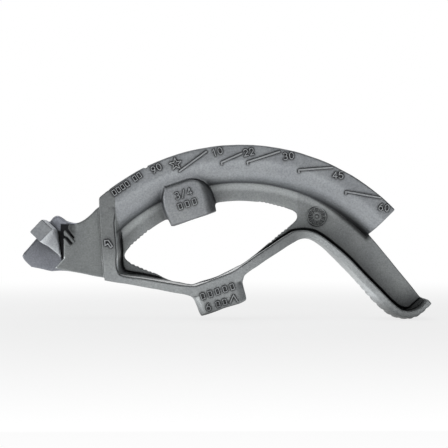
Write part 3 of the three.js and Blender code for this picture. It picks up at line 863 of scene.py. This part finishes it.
# ---- raised marks, each on its own fine grid ----
MARK_CELL = 0.14
MARK_DRAFT = 0.2  # how far the sides slope out per millimetre of depth
LINE_WIDTH = 1.25
NUMERAL_WIDTH = 0.85
BLANK_WIDTH = 0.8
CHARACTER_WIDTH = 0.64  # in character heights
CHARACTER_PITCH = 0.92
ANGLE_LINES = {  # start, end
    "10": ((-29.29, 97.25), (-11.6, 110.19)),
    "22": ((-1.57, 103.12), (11.7, 109.0)),
    "30": ((15.53, 103.39), (36.85, 110.25)),
    "45": ((49.45, 98.11), (71.76, 99.76)),
    "60": ((80.54, 83.85), (103.44, 79.76)),
}
NUMERALS = {  # text, centre, height, tilt in degrees
    "10": ("10", (-4.34, 110.19), 4.30, 19),
    "22": ("22", (16.39, 109.92), 4.30, 11),
    "30": ("30", (42.65, 107.35), 4.40, 6),
    "45": ("45", (75.32, 94.68), 4.40, 0),
    "60": ("60", (105.68, 73.42), 4.40, -9),
    "90": ("90", (-44.6, 99.23), 4.30, 28),
    "size": ("3/4", (-26.78, 82.47), 4.50, 19),
    "take_up": ("6", (-10.28, 7.62), 4.50, 18),
}
BLANKS = {  # count, centre, height, tilt in degrees, pitch in heights
    "back_1": (4, (-68.09, 86.03), 4.00, 34.6, 0.84),
    "back_2": (2, (-57.27, 93.55), 4.00, 34.6, 0.84),
    "size": (3, (-24.07, 75.67), 4.30, 19, 1.14),
    "take_up_1": (5, (-4.14, 17.92), 4.40, 18, 1.16),
    "take_up_2": (2, (-1.57, 10.33), 4.20, 18, 1.12),
}
STAR = (-31.79, 102.07)
STAR_R = (4.1, 1.6)  # points, notches
START_ARROW = [
    (-78.46, 51.45), (-76.15, 51.78), (-73.51, 47.75), (-74.69, 46.96), (-76.48, 49.47),
    (-78.26, 48.28), (-78.46, 51.45),
]
TAKE_UP_ARROW = [(4.04, 10.33), (6.42, 15.61), (9.19, 11.32)]


def raised_lines(name, lines, width, rise):
    """Rounded strokes standing out of the flange's -Y face along X, Z lines."""
    face = -HALF
    every = [q for line in lines for q in line]
    low = np.min(every, axis=0) - width - 1.0
    high = np.max(every, axis=0) + width + 1.0
    start = (low[0], face - rise - 0.9, low[1])
    spans = (high[0] - low[0], rise + 0.9 + 1.2, high[1] - low[1])
    x, y, z = (
        (a + MARK_CELL * np.arange(int(math.ceil(span / MARK_CELL)))).astype(f32)
        for a, span in zip(start, spans)
    )
    x, y, z = x[:, None, None], y[None, :, None], z[None, None, :]
    stroke = line_distance(lines, x, z) - width / 2
    # sides slope outwards towards the casting, as drafted marks do
    stroke = stroke - np.clip(y - (face - rise), 0, rise + 0.4) * MARK_DRAFT + 0.08
    middle = face + (0.5 - rise) / 2
    mark = skin(
        name, meet(stroke, np.abs(y - middle) - (rise + 0.5) / 2, 0.16), MARK_CELL, start
    )
    mark.data.polygons.foreach_set("use_smooth", np.ones(len(mark.data.polygons), bool))
    return mark


def arc(centre_x, centre_z, radius_x, radius_z, start, end, steps=14):
    turns = [math.radians(start + (end - start) * i / steps) for i in range(steps + 1)]
    return [(centre_x + radius_x * math.cos(t), centre_z + radius_z * math.sin(t)) for t in turns]


# strokes of each character in a cell one high, from its lower left corner
SIX = [(0.5, 1.0), (0.26, 0.82), (0.08, 0.55)] + arc(0.32, 0.3, 0.29, 0.3, 165, -180)
CHARACTERS = {
    "0": arc(0.32, 0.5, 0.3, 0.5, 0, 360, 20),
    "1": [(0.14, 0.78), (0.36, 1.0), (0.36, 0.0)],
    "2": arc(0.32, 0.71, 0.29, 0.29, 165, -35) + [(0.04, 0.0), (0.64, 0.0)],
    "3": arc(0.3, 0.75, 0.26, 0.25, 150, -80) + arc(0.3, 0.26, 0.3, 0.26, 80, -150),
    "4": [(0.48, 0.0), (0.48, 1.0), (0.02, 0.3), (0.66, 0.3)],
    "5": [(0.6, 1.0), (0.1, 1.0), (0.06, 0.56)] + arc(0.3, 0.31, 0.31, 0.31, 115, -150),
    "6": SIX,
    "9": [(0.64 - a, 1.0 - b) for a, b in SIX],
    "/": [(0.05, -0.05), (0.55, 1.05)],
    "#": [(0.06, 0.08), (0.58, 0.08), (0.58, 0.92), (0.06, 0.92), (0.06, 0.08)],
}


def text_lines(text, centre, height, tilt, pitch=CHARACTER_PITCH):
    """Strokes of a short row of characters centred on a point."""
    cos, sin = math.cos(math.radians(tilt)), math.sin(math.radians(tilt))
    total = (len(text) - 1) * pitch + CHARACTER_WIDTH
    lines = []
    for i, character in enumerate(text):
        line = []
        for a, b in CHARACTERS[character]:
            right = (a + i * pitch - total / 2) * height
            above = (b - 0.5) * height
            line.append(
                (centre[0] + right * cos - above * sin, centre[1] + right * sin + above * cos)
            )
        lines.append(line)
    return lines


def angle_strokes(name, start, end):
    """A line with a short tick below its start; the first line has none."""
    length = math.hypot(end[0] - start[0], end[1] - start[1])
    dir_x, dir_z = (end[0] - start[0]) / length, (end[1] - start[1]) / length
    tick = (start[0] + 0.55 * dir_z + 0.1 * dir_x, start[1] - 1.3 * abs(dir_x) - 0.2)
    return [[start, end]] if name == "10" else [[start, end], [start, tick]]


def star_line():
    line = []
    for i in range(10):
        turn = math.radians(100 + 36 * i)
        radius = STAR_R[i % 2]
        line.append((STAR[0] + radius * math.cos(turn), STAR[1] + radius * math.sin(turn)))
    return line + line[:1]


marks = []
for name, (start, end) in ANGLE_LINES.items():
    strokes = angle_strokes(name, start, end)
    mark = raised_lines("mark_line_" + name, strokes, width=LINE_WIDTH, rise=1.0)
    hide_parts("angle_line_" + name)
    marks.append(mark)
for name, row in NUMERALS.items():
    mark = raised_lines("numerals_" + name, text_lines(*row), width=NUMERAL_WIDTH, rise=0.95)
    marks.append(mark)
for name, (count, *row) in BLANKS.items():
    strokes = text_lines("#" * count, *row)
    marks.append(raised_lines("blank_row_" + name, strokes, width=BLANK_WIDTH, rise=0.95))
for name, node, line, width in (
    ("mark_star", "star_mark", star_line(), 0.85),
    ("mark_start_arrow", "start_arrow", START_ARROW, 1.0),
    ("mark_take_up_arrow", "take_up_arrow", TAKE_UP_ARROW, 0.95),
):
    mark = raised_lines(name, [line], width=width, rise=1.0)
    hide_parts(node)
    marks.append(mark)


# ---- shader arithmetic ----
class Signal:
    """A shader value; arithmetic on it adds Math nodes to its tree."""

    def __init__(self, socket):
        self.socket = socket

    def __add__(self, other):
        return calc("ADD", self, other)

    def __radd__(self, other):
        return calc("ADD", other, self)

    def __sub__(self, other):
        return calc("SUBTRACT", self, other)

    def __rsub__(self, other):
        return calc("SUBTRACT", other, self)

    def __mul__(self, other):
        return calc("MULTIPLY", self, other)

    def __truediv__(self, other):
        return calc("DIVIDE", self, other)


def calc(operation, *values, clamp=False):
    """A Math node on signals and plain numbers."""
    tree = next(v for v in values if isinstance(v, Signal)).socket.id_data
    node = tree.nodes.new("ShaderNodeMath")
    node.operation = operation
    node.use_clamp = clamp
    for value, slot in zip(values, node.inputs):
        if isinstance(value, Signal):
            tree.links.new(value.socket, slot)
        else:
            slot.default_value = value
    return Signal(node.outputs[0])


def scaled(value, by, plus):
    return calc("MULTIPLY_ADD", value, by, plus)


def clamped(value, rate):
    return calc("MULTIPLY", value, rate, clamp=True)


def rise(value, start, rate):
    """0 up to the start, then up to 1 at the rate."""
    return clamped(value - start, rate)


def drop(value, end, rate):
    """Down from 1 at the rate, reaching 0 at the end."""
    return clamped(end - value, rate)


def dome(value):
    """1 at a value of 0, falling to 0 at -1 and 1."""
    return calc("MAXIMUM", 1.0 - value * value, 0.0)


def map_range(value, start, end, before, after, interpolation="SMOOTHSTEP"):
    """Goes from one output before the start to another after the end."""
    tree = value.socket.id_data
    node = tree.nodes.new("ShaderNodeMapRange")
    node.interpolation_type = interpolation
    numbers = {"From Min": start, "From Max": end, "To Min": before, "To Max": after}
    for name, number in numbers.items():
        node.inputs[name].default_value = number
    tree.links.new(value.socket, node.inputs["Value"])
    return Signal(node.outputs["Result"])


class Surface:
    """A material being built: its node tree, tone, corner shade and metallic value."""

    def __init__(self, name):
        self.material = bpy.data.materials.new(name)
        self.material.use_nodes = True
        self.tree = self.material.node_tree
        self.tree.nodes.clear()
        self.coords = self.new("ShaderNodeTexCoord").outputs["Object"]
        self.metallic = None  # a signal where it isn't plain METALLIC

    def new(self, kind):
        return self.tree.nodes.new(kind)

    def link(self, source, target):
        self.tree.links.new(source.socket if isinstance(source, Signal) else source, target)

    def split(self, vector):
        node = self.new("ShaderNodeSeparateXYZ")
        self.link(vector, node.inputs[0])
        return [Signal(output) for output in node.outputs]

    @cached_property
    def place(self):
        """X, Y, Z in metres."""
        return self.split(self.coords)

    @cached_property
    def normal(self):
        return self.split(self.new("ShaderNodeNewGeometry").outputs["Normal"])

    def noise(self, scale, detail, roughness):
        node = self.new("ShaderNodeTexNoise")
        node.inputs["Scale"].default_value = scale
        node.inputs["Detail"].default_value = detail
        node.inputs["Roughness"].default_value = roughness
        self.link(self.coords, node.inputs["Vector"])
        return Signal(node.outputs["Fac"])

    def openness(self, distance, power):
        """Ambient occlusion: 1 in the open, darker in corners."""
        node = self.new("ShaderNodeAmbientOcclusion")
        node.samples = 6
        node.inputs["Distance"].default_value = distance
        return calc("POWER", Signal(node.outputs["AO"]), power)

    def lighten(self, mask, amount):
        self.tone = self.tone * (1.0 + mask * amount)

    def darken(self, mask, amount):
        self.tone = self.tone * (1.0 - mask * amount)

    def clear_shade(self, mask):
        self.shade = self.shade + (1.0 - self.shade) * mask


# ---- effects laid under the corner shade ----
METALLIC = 0.8
TO_DEGREES = 57.2958


def paint_opening_light_and_shade(surface, amount):
    """Painted light on the walls round the opening, with painted shade along their -Y edge."""
    x, y, z = surface.place
    normal_x, _, normal_z = surface.normal
    # from the surface to the middle of the opening, millimetres
    to_x = -9.0 - x * 1000
    to_z = 48.5 - z * 1000
    reach = calc("SQRT", to_x * to_x + to_z * to_z)
    facing = to_x * normal_x + to_z * normal_z
    facing = rise(facing / reach, start=0.12, rate=4.0)
    facing = facing * drop(x, end=0.058, rate=150)
    depth = y * -1000
    lit_wall = drop(depth, end=15.6, rate=2.5) * rise(depth, start=4.6, rate=0.4)
    lit_wall = lit_wall * facing
    # painted light: the corner shade is cleared and the walls are lightened
    surface.clear_shade(lit_wall)
    surface.lighten(lit_wall, amount)
    # painted shade: a dark line along the walls' -Y edge
    rim_shade_depth, rim_shade_width = 15.85, 0.5
    surface.darken(dome((depth - rim_shade_depth) / rim_shade_width) * facing, amount=0.6)


def paint_sole_light(surface, amount):
    """Painted light: the underside of the foot is lighter towards its tip, where it faces down.
    """
    down = rise(surface.normal[2] * -1.0, start=0.3, rate=2.5)
    surface.lighten(down * rise(surface.place[0], start=0.075, rate=40), amount)


def paint_saddle_light_and_shade(surface, amount):
    """Painted light on the saddle's inner side and its +X, upward faces, which are also made less
    metallic.
    """
    y = surface.place[1]
    normal_x, normal_y, normal_z = surface.normal
    marked_face = 13.8  # the -Y face itself is left out
    behind = clamped(y * 1000 + marked_face, rate=1.0)
    under = normal_x * -OUT[0] - normal_z * OUT[1]
    inner = behind * rise(under, start=0.05, rate=4.0)
    weight_x, weight_z = 0.85, 0.5
    rear = rise(normal_x * weight_x + normal_z * weight_z, start=0.2, rate=3.0)
    rear = rear * drop(y, end=0.0105, rate=400)
    rear = rear * behind
    rear_light_gain, rear_shade_clearing, metal_loss = 1.15, 0.9, 0.6
    # painted light: both sets of faces are lightened, and the corner shade is cleared on the rear
    # ones
    inner = calc("MAXIMUM", inner, rear * rear_light_gain)
    surface.clear_shade(rear * rear_shade_clearing)
    surface.lighten(inner, amount)
    surface.metallic = METALLIC - inner * metal_loss
    # painted shade along the rounded upper edges of its marked face
    edge_shade_tilt, edge_shade_width = 0.62, 0.4
    edge = dome((normal_y + edge_shade_tilt) / edge_shade_width)
    surface.darken(edge * rise(normal_z, start=0.1, rate=5.0), amount=0.6)


# ---- effects laid over the corner shade ----
def paint_flange_light(surface):
    """Painted light and shade: brighter towards the bottom and darker towards the top; the foot
    is painted bright all over.
    """
    x, _, z = surface.place
    fade = map_range(z, start=0.024, end=0.054, before=0.98, after=0.56)
    foot = rise(x, start=0.048, rate=70)
    foot_light = 1.1
    surface.tone = surface.tone * (fade + (foot_light - fade) * foot)


def paint_plate_light(surface):
    """Painted light: the plate's -Y side is brighter towards its top."""
    _, y, z = surface.place
    fade = map_range(z, start=0.0555, end=0.060, before=1.0, after=2.1)
    inner_face = drop(y, end=0.0131, rate=1500)
    surface.tone = surface.tone * (1.0 + (fade - 1.0) * inner_face)


def paint_right_shade(surface, amount):
    """Painted shade: the +X side of a boss is darkened."""
    surface.darken(rise(surface.normal[0], start=0.12, rate=2.2), amount)


def paint_left_light(surface, amount):
    """Painted light: low edges turned to -X, near the marked face, are lightened."""
    _, y, z = surface.place
    edge = rise(surface.normal[0] * -1.0, start=0.08, rate=3.0)
    edge = edge * drop(y * 1000, end=-8.0, rate=0.4)
    edge = edge * drop(z, end=0.0415, rate=700)
    surface.lighten(edge, amount)


def bend_polar(surface):
    """Radius in millimetres and angle in degrees about the bend centre."""
    x, _, z = surface.place
    from_x = x - BEND[0] * MM
    from_z = z - BEND[1] * MM
    radius = calc("SQRT", from_x * from_x + from_z * from_z) * 1000
    return radius, calc("ARCTAN2", from_x, from_z) * TO_DEGREES


def paint_shoe_light_and_shade(surface):
    """Painted light and shade: the shoe darkens to its rim and lightens on its lower curve, with
    painted shadow in the crease below growing to its end.
    """
    radius, turn = bend_polar(surface)
    rim = map_range(radius, start=131, end=137, before=1.0, after=0.84)
    surface.tone = surface.tone * rim
    # painted light on the lower curve of the U section
    low = map_range(radius, start=119, end=129, before=1.34, after=1.0)
    surface.tone = surface.tone * low
    end = rise(turn, start=24.0, rate=0.05)
    # the crease's radius and sharpness, and how both change towards the end
    crease_r, crease_growth = 119.4, 2.2
    sharpness, sharpness_loss = 0.62, 0.3
    crease_shadow = drop(
        radius, end=crease_r + end * crease_growth, rate=sharpness - end * sharpness_loss
    )
    surface.tone = surface.tone * (1.0 - crease_shadow * scaled(end, by=0.42, plus=0.45))


def paint_fillet_light_and_shade(surface):
    """Painted light on the fillet beside the shoe; painted shadow keeps the crease itself black.
    """
    radius, turn = bend_polar(surface)
    early = drop(turn, end=36.0, rate=0.1)
    late = rise(turn, start=22.0, rate=0.07)
    light_r, light_width = 115.0, 2.4
    surface.lighten(dome((radius - light_r) / light_width) * early, amount=0.38)
    # the crease's radius, width and strength, and how each changes at late angles
    crease_r, inward = 117.9, 0.7
    width, widening = 0.8, 2.1
    strength, strengthening = 0.45, 0.42
    crease = (radius - (crease_r - late * inward)) / (width + late * widening)
    crease_shadow = dome(crease) * drop(turn, end=47.5, rate=0.7)
    crease_shadow = crease_shadow * (strength + late * strengthening)
    surface.tone = surface.tone * (1.0 - crease_shadow)


def paint_hook_shade(surface):
    """Painted shade in the hook's deep corner, and a painted shadow round the slots."""
    x, y, z = surface.split(surface.coords)

    def hook_axis(axis):
        across_x = (x - START[0] * MM) * (1000 * axis[0])
        return across_x + (z - START[1] * MM) * (1000 * axis[1])

    along, out = hook_axis(ALONG), hook_axis(OUT)
    deep = rise(y * 1000, start=8.0, rate=0.6)
    lean_from, lean = 1.0, 0.75  # the patch's outer end leans back away from the groove
    front = drop(along + (out - lean_from) * lean, end=37.0, rate=0.7)
    back = rise(along, start=9.0, rate=0.25)
    x_mm, z_mm = x * 1000, z * 1000
    left_limit = 111.0
    beside = calc(
        "MAXIMUM", drop(z_mm, end=58.3, rate=1.2), clamped(x_mm + left_limit, rate=2.0)
    )
    top = beside * drop(z_mm, end=62.9, rate=1.2)
    deep = deep * drop(y * 1000, end=12.4, rate=4.0)
    pocket_shade = deep * (front * (back * top))
    # an elliptical painted shadow over the marked wall, centred on X -101.2, Z 59.6
    dish_shade_x = (x_mm + 101.2) / 4.6
    dish_shade_z = (z_mm - 59.6) / 4.2
    dish_shade_strength = 0.62
    dish_shade = calc("MAXIMUM", 1.0 - (dish_shade_x * dish_shade_x + dish_shade_z * dish_shade_z), 0.0) * dish_shade_strength
    dish_shade = dish_shade * drop(y * 1000, end=-13.0, rate=1.5)
    surface.darken(calc("MAXIMUM", pocket_shade, dish_shade), amount=0.93)


def paint_mark_light_and_shade(surface):
    """Painted shade on the upper sides of a raised mark and painted light on its lower sides."""
    normal_x, normal_y, normal_z = surface.normal
    weight_x, weight_z = 0.45, 0.89
    lower = normal_x * weight_x - normal_z * weight_z
    side = map_range(lower, start=-0.45, end=0.75, before=0.06, after=1.5)
    flatness = 5.0  # how square to Y a face must be to count as the mark's flat top
    flat = calc("POWER", calc("ABSOLUTE", normal_y), flatness)
    mix = surface.new("ShaderNodeMix")
    surface.link(flat, mix.inputs["Factor"])
    surface.link(side, mix.inputs["A"])
    mix.inputs["B"].default_value = 1.0
    surface.tone = surface.tone * Signal(mix.outputs["Result"])


# ---- materials ----
def alloy(name, tint, roughness, grain, under=(), over=()):
    """Satin cast alloy: blotchy tone, sand-cast grain and painted shade in corners.

    The effects under and over the corner shade are pairs of a function and its settings.
    """
    surface = Surface(name)
    new, link = surface.new, surface.link
    output = new("ShaderNodeOutputMaterial")
    shader = new("ShaderNodeBsdfPrincipled")
    link(shader.outputs[0], output.inputs[0])
    blotch = surface.noise(scale=55, detail=5, roughness=0.55)
    speck = surface.noise(scale=900, detail=3, roughness=0.6)
    fine = surface.noise(scale=2600, detail=2, roughness=0.6)
    # painted shade: ambient occlusion darkens the tone in corners
    corner = surface.openness(distance=0.017, power=1.9)
    surface.tone = scaled(blotch, by=0.34, plus=0.83) * scaled(speck, by=0.9, plus=0.55)
    surface.shade = scaled(corner, by=0.88, plus=0.12)
    for effect, settings in under:
        effect(surface, **settings)
    surface.tone = surface.tone * surface.shade
    # painted shade: a thin dark line beside every raised mark and in every sharp crease, from
    # short-range ambient occlusion
    crease = surface.openness(distance=0.0015, power=3.2)
    surface.tone = surface.tone * scaled(crease, by=0.85, plus=0.15)
    for effect, settings in over:
        effect(surface, **settings)

    # blotches shift the tint from slightly dark and cool to slightly light
    red, green, blue = tint
    colour = new("ShaderNodeMix")
    colour.data_type = "RGBA"
    colour.inputs["A"].default_value = (red * 0.93, green * 0.93, blue * 0.99, 1)
    colour.inputs["B"].default_value = (red * 1.04, green * 1.04, blue * 1.04, 1)
    link(blotch, colour.inputs["Factor"])
    toned = new("ShaderNodeMix")
    toned.data_type = "RGBA"
    toned.blend_type = "MULTIPLY"
    toned.inputs["Factor"].default_value = 1.0
    link(colour.outputs["Result"], toned.inputs["A"])
    grey = new("ShaderNodeCombineColor")
    for i in range(3):
        link(surface.tone, grey.inputs[i])
    link(grey.outputs[0], toned.inputs["B"])
    link(toned.outputs["Result"], shader.inputs["Base Color"])
    shader.inputs["Metallic"].default_value = METALLIC
    if surface.metallic:
        link(surface.metallic, shader.inputs["Metallic"])
    link(scaled(speck, by=0.16, plus=roughness - 0.08), shader.inputs["Roughness"])
    bump = new("ShaderNodeBump")
    bump.inputs["Strength"].default_value = grain
    bump.inputs["Distance"].default_value = 0.00022
    speck_share, fine_share = 0.7, 0.3
    link(speck * speck_share + fine * fine_share, bump.inputs["Height"])
    link(bump.outputs[0], shader.inputs["Normal"])
    return surface.material


# painted light and shade effects, each with its settings
OPENING_LIGHT_AND_SHADE = (paint_opening_light_and_shade, dict(amount=2.0))
SOLE_LIGHT = (paint_sole_light, dict(amount=0.75))
FILLET_LIGHT_AND_SHADE = (paint_fillet_light_and_shade, {})
HOOK_SHADE = (paint_hook_shade, {})
MATERIALS = {
    "cast_shoe": alloy("alloy_shoe", tint=(0.355, 0.372, 0.378), roughness=0.46, grain=0.55,
                       over=[(paint_shoe_light_and_shade, {})]),
    "cast_web": alloy("alloy_web", tint=(0.36, 0.378, 0.37), roughness=0.52, grain=0.6,
                      over=[FILLET_LIGHT_AND_SHADE]),
    "cast_flange": alloy("alloy_flange", tint=(0.385, 0.404, 0.397), roughness=0.48, grain=0.6,
                         under=[OPENING_LIGHT_AND_SHADE, SOLE_LIGHT], over=[(paint_flange_light, {})]),
    "cast_hook": alloy("alloy_hook", tint=(0.25, 0.264, 0.258), roughness=0.5, grain=0.7,
                       over=[(paint_left_light, dict(amount=1.6)), HOOK_SHADE]),
    "raised_mark": alloy("alloy_mark", tint=(0.38, 0.395, 0.395), roughness=0.5, grain=0.3,
                         over=[(paint_mark_light_and_shade, {})]),
}
# nodes with a finish of their own
VARIANTS = {
    # painted reflection: the back plate's bluer tint stands in for the cool reflection on its
    # shaded face
    "hook_back_plate": alloy("alloy_hook_plate", tint=(0.27, 0.282, 0.305), roughness=0.42,
                             grain=0.35, over=[(paint_plate_light, {}), HOOK_SHADE]),
    "hook_saddle": alloy("alloy_hook_saddle", tint=(0.33, 0.345, 0.352), roughness=0.55,
                         grain=1.0, under=[(paint_saddle_light_and_shade, dict(amount=2.0))]),
    "handle_socket": alloy("alloy_boss", tint=(0.315, 0.328, 0.331), roughness=0.48, grain=0.6,
                           over=[(paint_right_shade, dict(amount=0.55))]),
    "handle_collar": alloy("alloy_collar", tint=(0.37, 0.388, 0.382), roughness=0.48, grain=0.6,
                           under=[OPENING_LIGHT_AND_SHADE], over=[(paint_right_shade, dict(amount=0.1)),
                                                  (paint_left_light, dict(amount=0.85))]),
    "pedal_toe": alloy("alloy_toe", tint=(0.395, 0.415, 0.406), roughness=0.5, grain=0.7,
                       under=[SOLE_LIGHT]),
    "pedal_web": alloy("alloy_foot_web", tint=(0.31, 0.325, 0.318), roughness=0.52, grain=0.6,
                       over=[FILLET_LIGHT_AND_SHADE]),
}


def slot_of(node):
    if node == "shoe_channel":
        return "cast_shoe"
    if node in ("front_web", "rear_web", "rail_web", "spoke_web", "pedal_web"):
        return "cast_web"
    if node in ("hook_trough", "hook_back_plate", "hook_saddle", *GRIP_RIBS):
        return "cast_hook"
    return "cast_flange"


def paint(obj, slot, node=None):
    obj.data.materials.clear()
    obj.data.materials.append(VARIANTS.get(node, MATERIALS[slot]))


def dress(obj, slot, node=None):
    paint(obj, slot, node)
    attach(obj, "root")


for node, piece in pieces.items():
    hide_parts(node)
    dress(piece, slot_of(node), node)
for mark in marks:
    dress(mark, "raised_mark")
# every frame node gets the same finish, so none is ever seen plain
for node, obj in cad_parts.items():
    is_mark = any(word in node for word in ("mark", "arrow", "line"))
    paint(obj, "raised_mark" if is_mark else slot_of(node), node)

# ---- floor, metres ----
FLOOR_SIZE = 60.0
FLOOR_CELLS = 24
FLOOR_Z = -0.00105  # just under the crown of the toe, the lowest point of the casting


def floor_material():
    material = bpy.data.materials.new("pale_floor")
    material.use_nodes = True
    tree = material.node_tree
    new, link = tree.nodes.new, tree.links.new
    shader = tree.nodes["Principled BSDF"]
    shader.inputs["Roughness"].default_value = 0.85
    noise = new("ShaderNodeTexNoise")
    noise.inputs["Scale"].default_value = 3.0
    colour = new("ShaderNodeMix")
    colour.data_type = "RGBA"
    colour.inputs["A"].default_value = (0.86, 0.86, 0.86, 1)
    colour.inputs["B"].default_value = (0.9, 0.9, 0.9, 1)
    link(noise.outputs["Fac"], colour.inputs["Factor"])
    link(colour.outputs["Result"], shader.inputs["Base Color"])
    # the floor brightens to plain white away from the object
    coords = new("ShaderNodeTexCoord")
    length = new("ShaderNodeVectorMath")
    length.operation = "LENGTH"
    link(coords.outputs["Object"], length.inputs[0])
    away = Signal(length.outputs["Value"])
    white = map_range(away, start=0.12, end=0.75, before=0.78, after=1.0)
    glow = new("ShaderNodeEmission")
    mix = new("ShaderNodeMixShader")
    link(white.socket, mix.inputs[0])
    link(shader.outputs[0], mix.inputs[1])
    link(glow.outputs[0], mix.inputs[2])
    link(mix.outputs[0], tree.nodes["Material Output"].inputs["Surface"])
    return material


def make_floor():
    steps = [-FLOOR_SIZE / 2 + FLOOR_SIZE * i / FLOOR_CELLS for i in range(FLOOR_CELLS + 1)]
    row = FLOOR_CELLS + 1
    faces = [
        (i * row + j, (i + 1) * row + j, (i + 1) * row + j + 1, i * row + j + 1)
        for i in range(FLOOR_CELLS) for j in range(FLOOR_CELLS)
    ]
    mesh = bpy.data.meshes.new("floor")
    mesh.from_pydata([(x, y, FLOOR_Z) for x in steps for y in steps], [], faces)
    floor = add("floor", mesh)
    mesh.materials.append(floor_material())


make_floor()

# ---- light ----
scene = bpy.context.scene
scene.view_settings.view_transform = "Standard"


def make_world():
    """Plain white to the camera, a dim cool sky to everything else."""
    world = bpy.data.worlds.new("studio")
    scene.world = world
    world.use_nodes = True
    tree = world.node_tree
    tree.nodes.clear()
    new, link = tree.nodes.new, tree.links.new
    output = new("ShaderNodeOutputWorld")
    mix = new("ShaderNodeMixShader")
    seen = new("ShaderNodeBackground")
    seen.inputs["Color"].default_value = (1, 1, 1, 1)
    seen.inputs["Strength"].default_value = 1.0
    sky = new("ShaderNodeBackground")
    sky.inputs["Color"].default_value = (0.97, 0.985, 1.0, 1)
    coords = new("ShaderNodeTexCoord")
    split = new("ShaderNodeSeparateXYZ")
    link(coords.outputs["Generated"], split.inputs[0])
    strength = map_range(
        Signal(split.outputs[2]), start=0.0, end=0.7, before=0.14, after=0.16,
        interpolation="LINEAR",
    )
    link(strength.socket, sky.inputs["Strength"])
    ray = new("ShaderNodeLightPath")
    link(ray.outputs["Is Camera Ray"], mix.inputs[0])
    link(sky.outputs[0], mix.inputs[1])
    link(seen.outputs[0], mix.inputs[2])
    link(mix.outputs[0], output.inputs[0])


def area_light(name, location, target, power, width, height):
    light = bpy.data.lights.new(name, "AREA")
    light.shape = "RECTANGLE"
    light.size = width
    light.size_y = height
    light.energy = power
    obj = add(name, light)
    obj.location = location
    aim = Vector(target) - Vector(location)
    obj.rotation_euler = aim.to_track_quat("-Z", "Y").to_euler()
    obj.visible_camera = False


make_world()
area_light("left_low", location=(-1.2, -0.55, 0.16), target=(-0.02, 0, 0.03),
           power=4.0, width=0.8, height=0.3)
area_light("front_near", location=(0.03, -0.55, 0.05), target=(0.02, 0, 0.03),
           power=0.3, width=0.4, height=0.12)
area_light("top", location=(-0.1, -0.1, 1.4), target=(0, 0, 0.06),
           power=5.0, width=1.4, height=1.4)
area_light("back", location=(-0.3, 1.5, 0.8), target=(0, 0, 0.06),
           power=3.0, width=1.2, height=1.2)

# ---- camera, square on to the marked face ----
lens = bpy.data.cameras.new("camera")
lens.sensor_width = 36.0
lens.lens = 121.75
lens.clip_start = 0.01
camera = add("camera", lens)
camera.location = (0.00015, -1.0162, 0.0624)
camera.rotation_euler = (math.radians(90), 0, 0)
scene.camera = camera
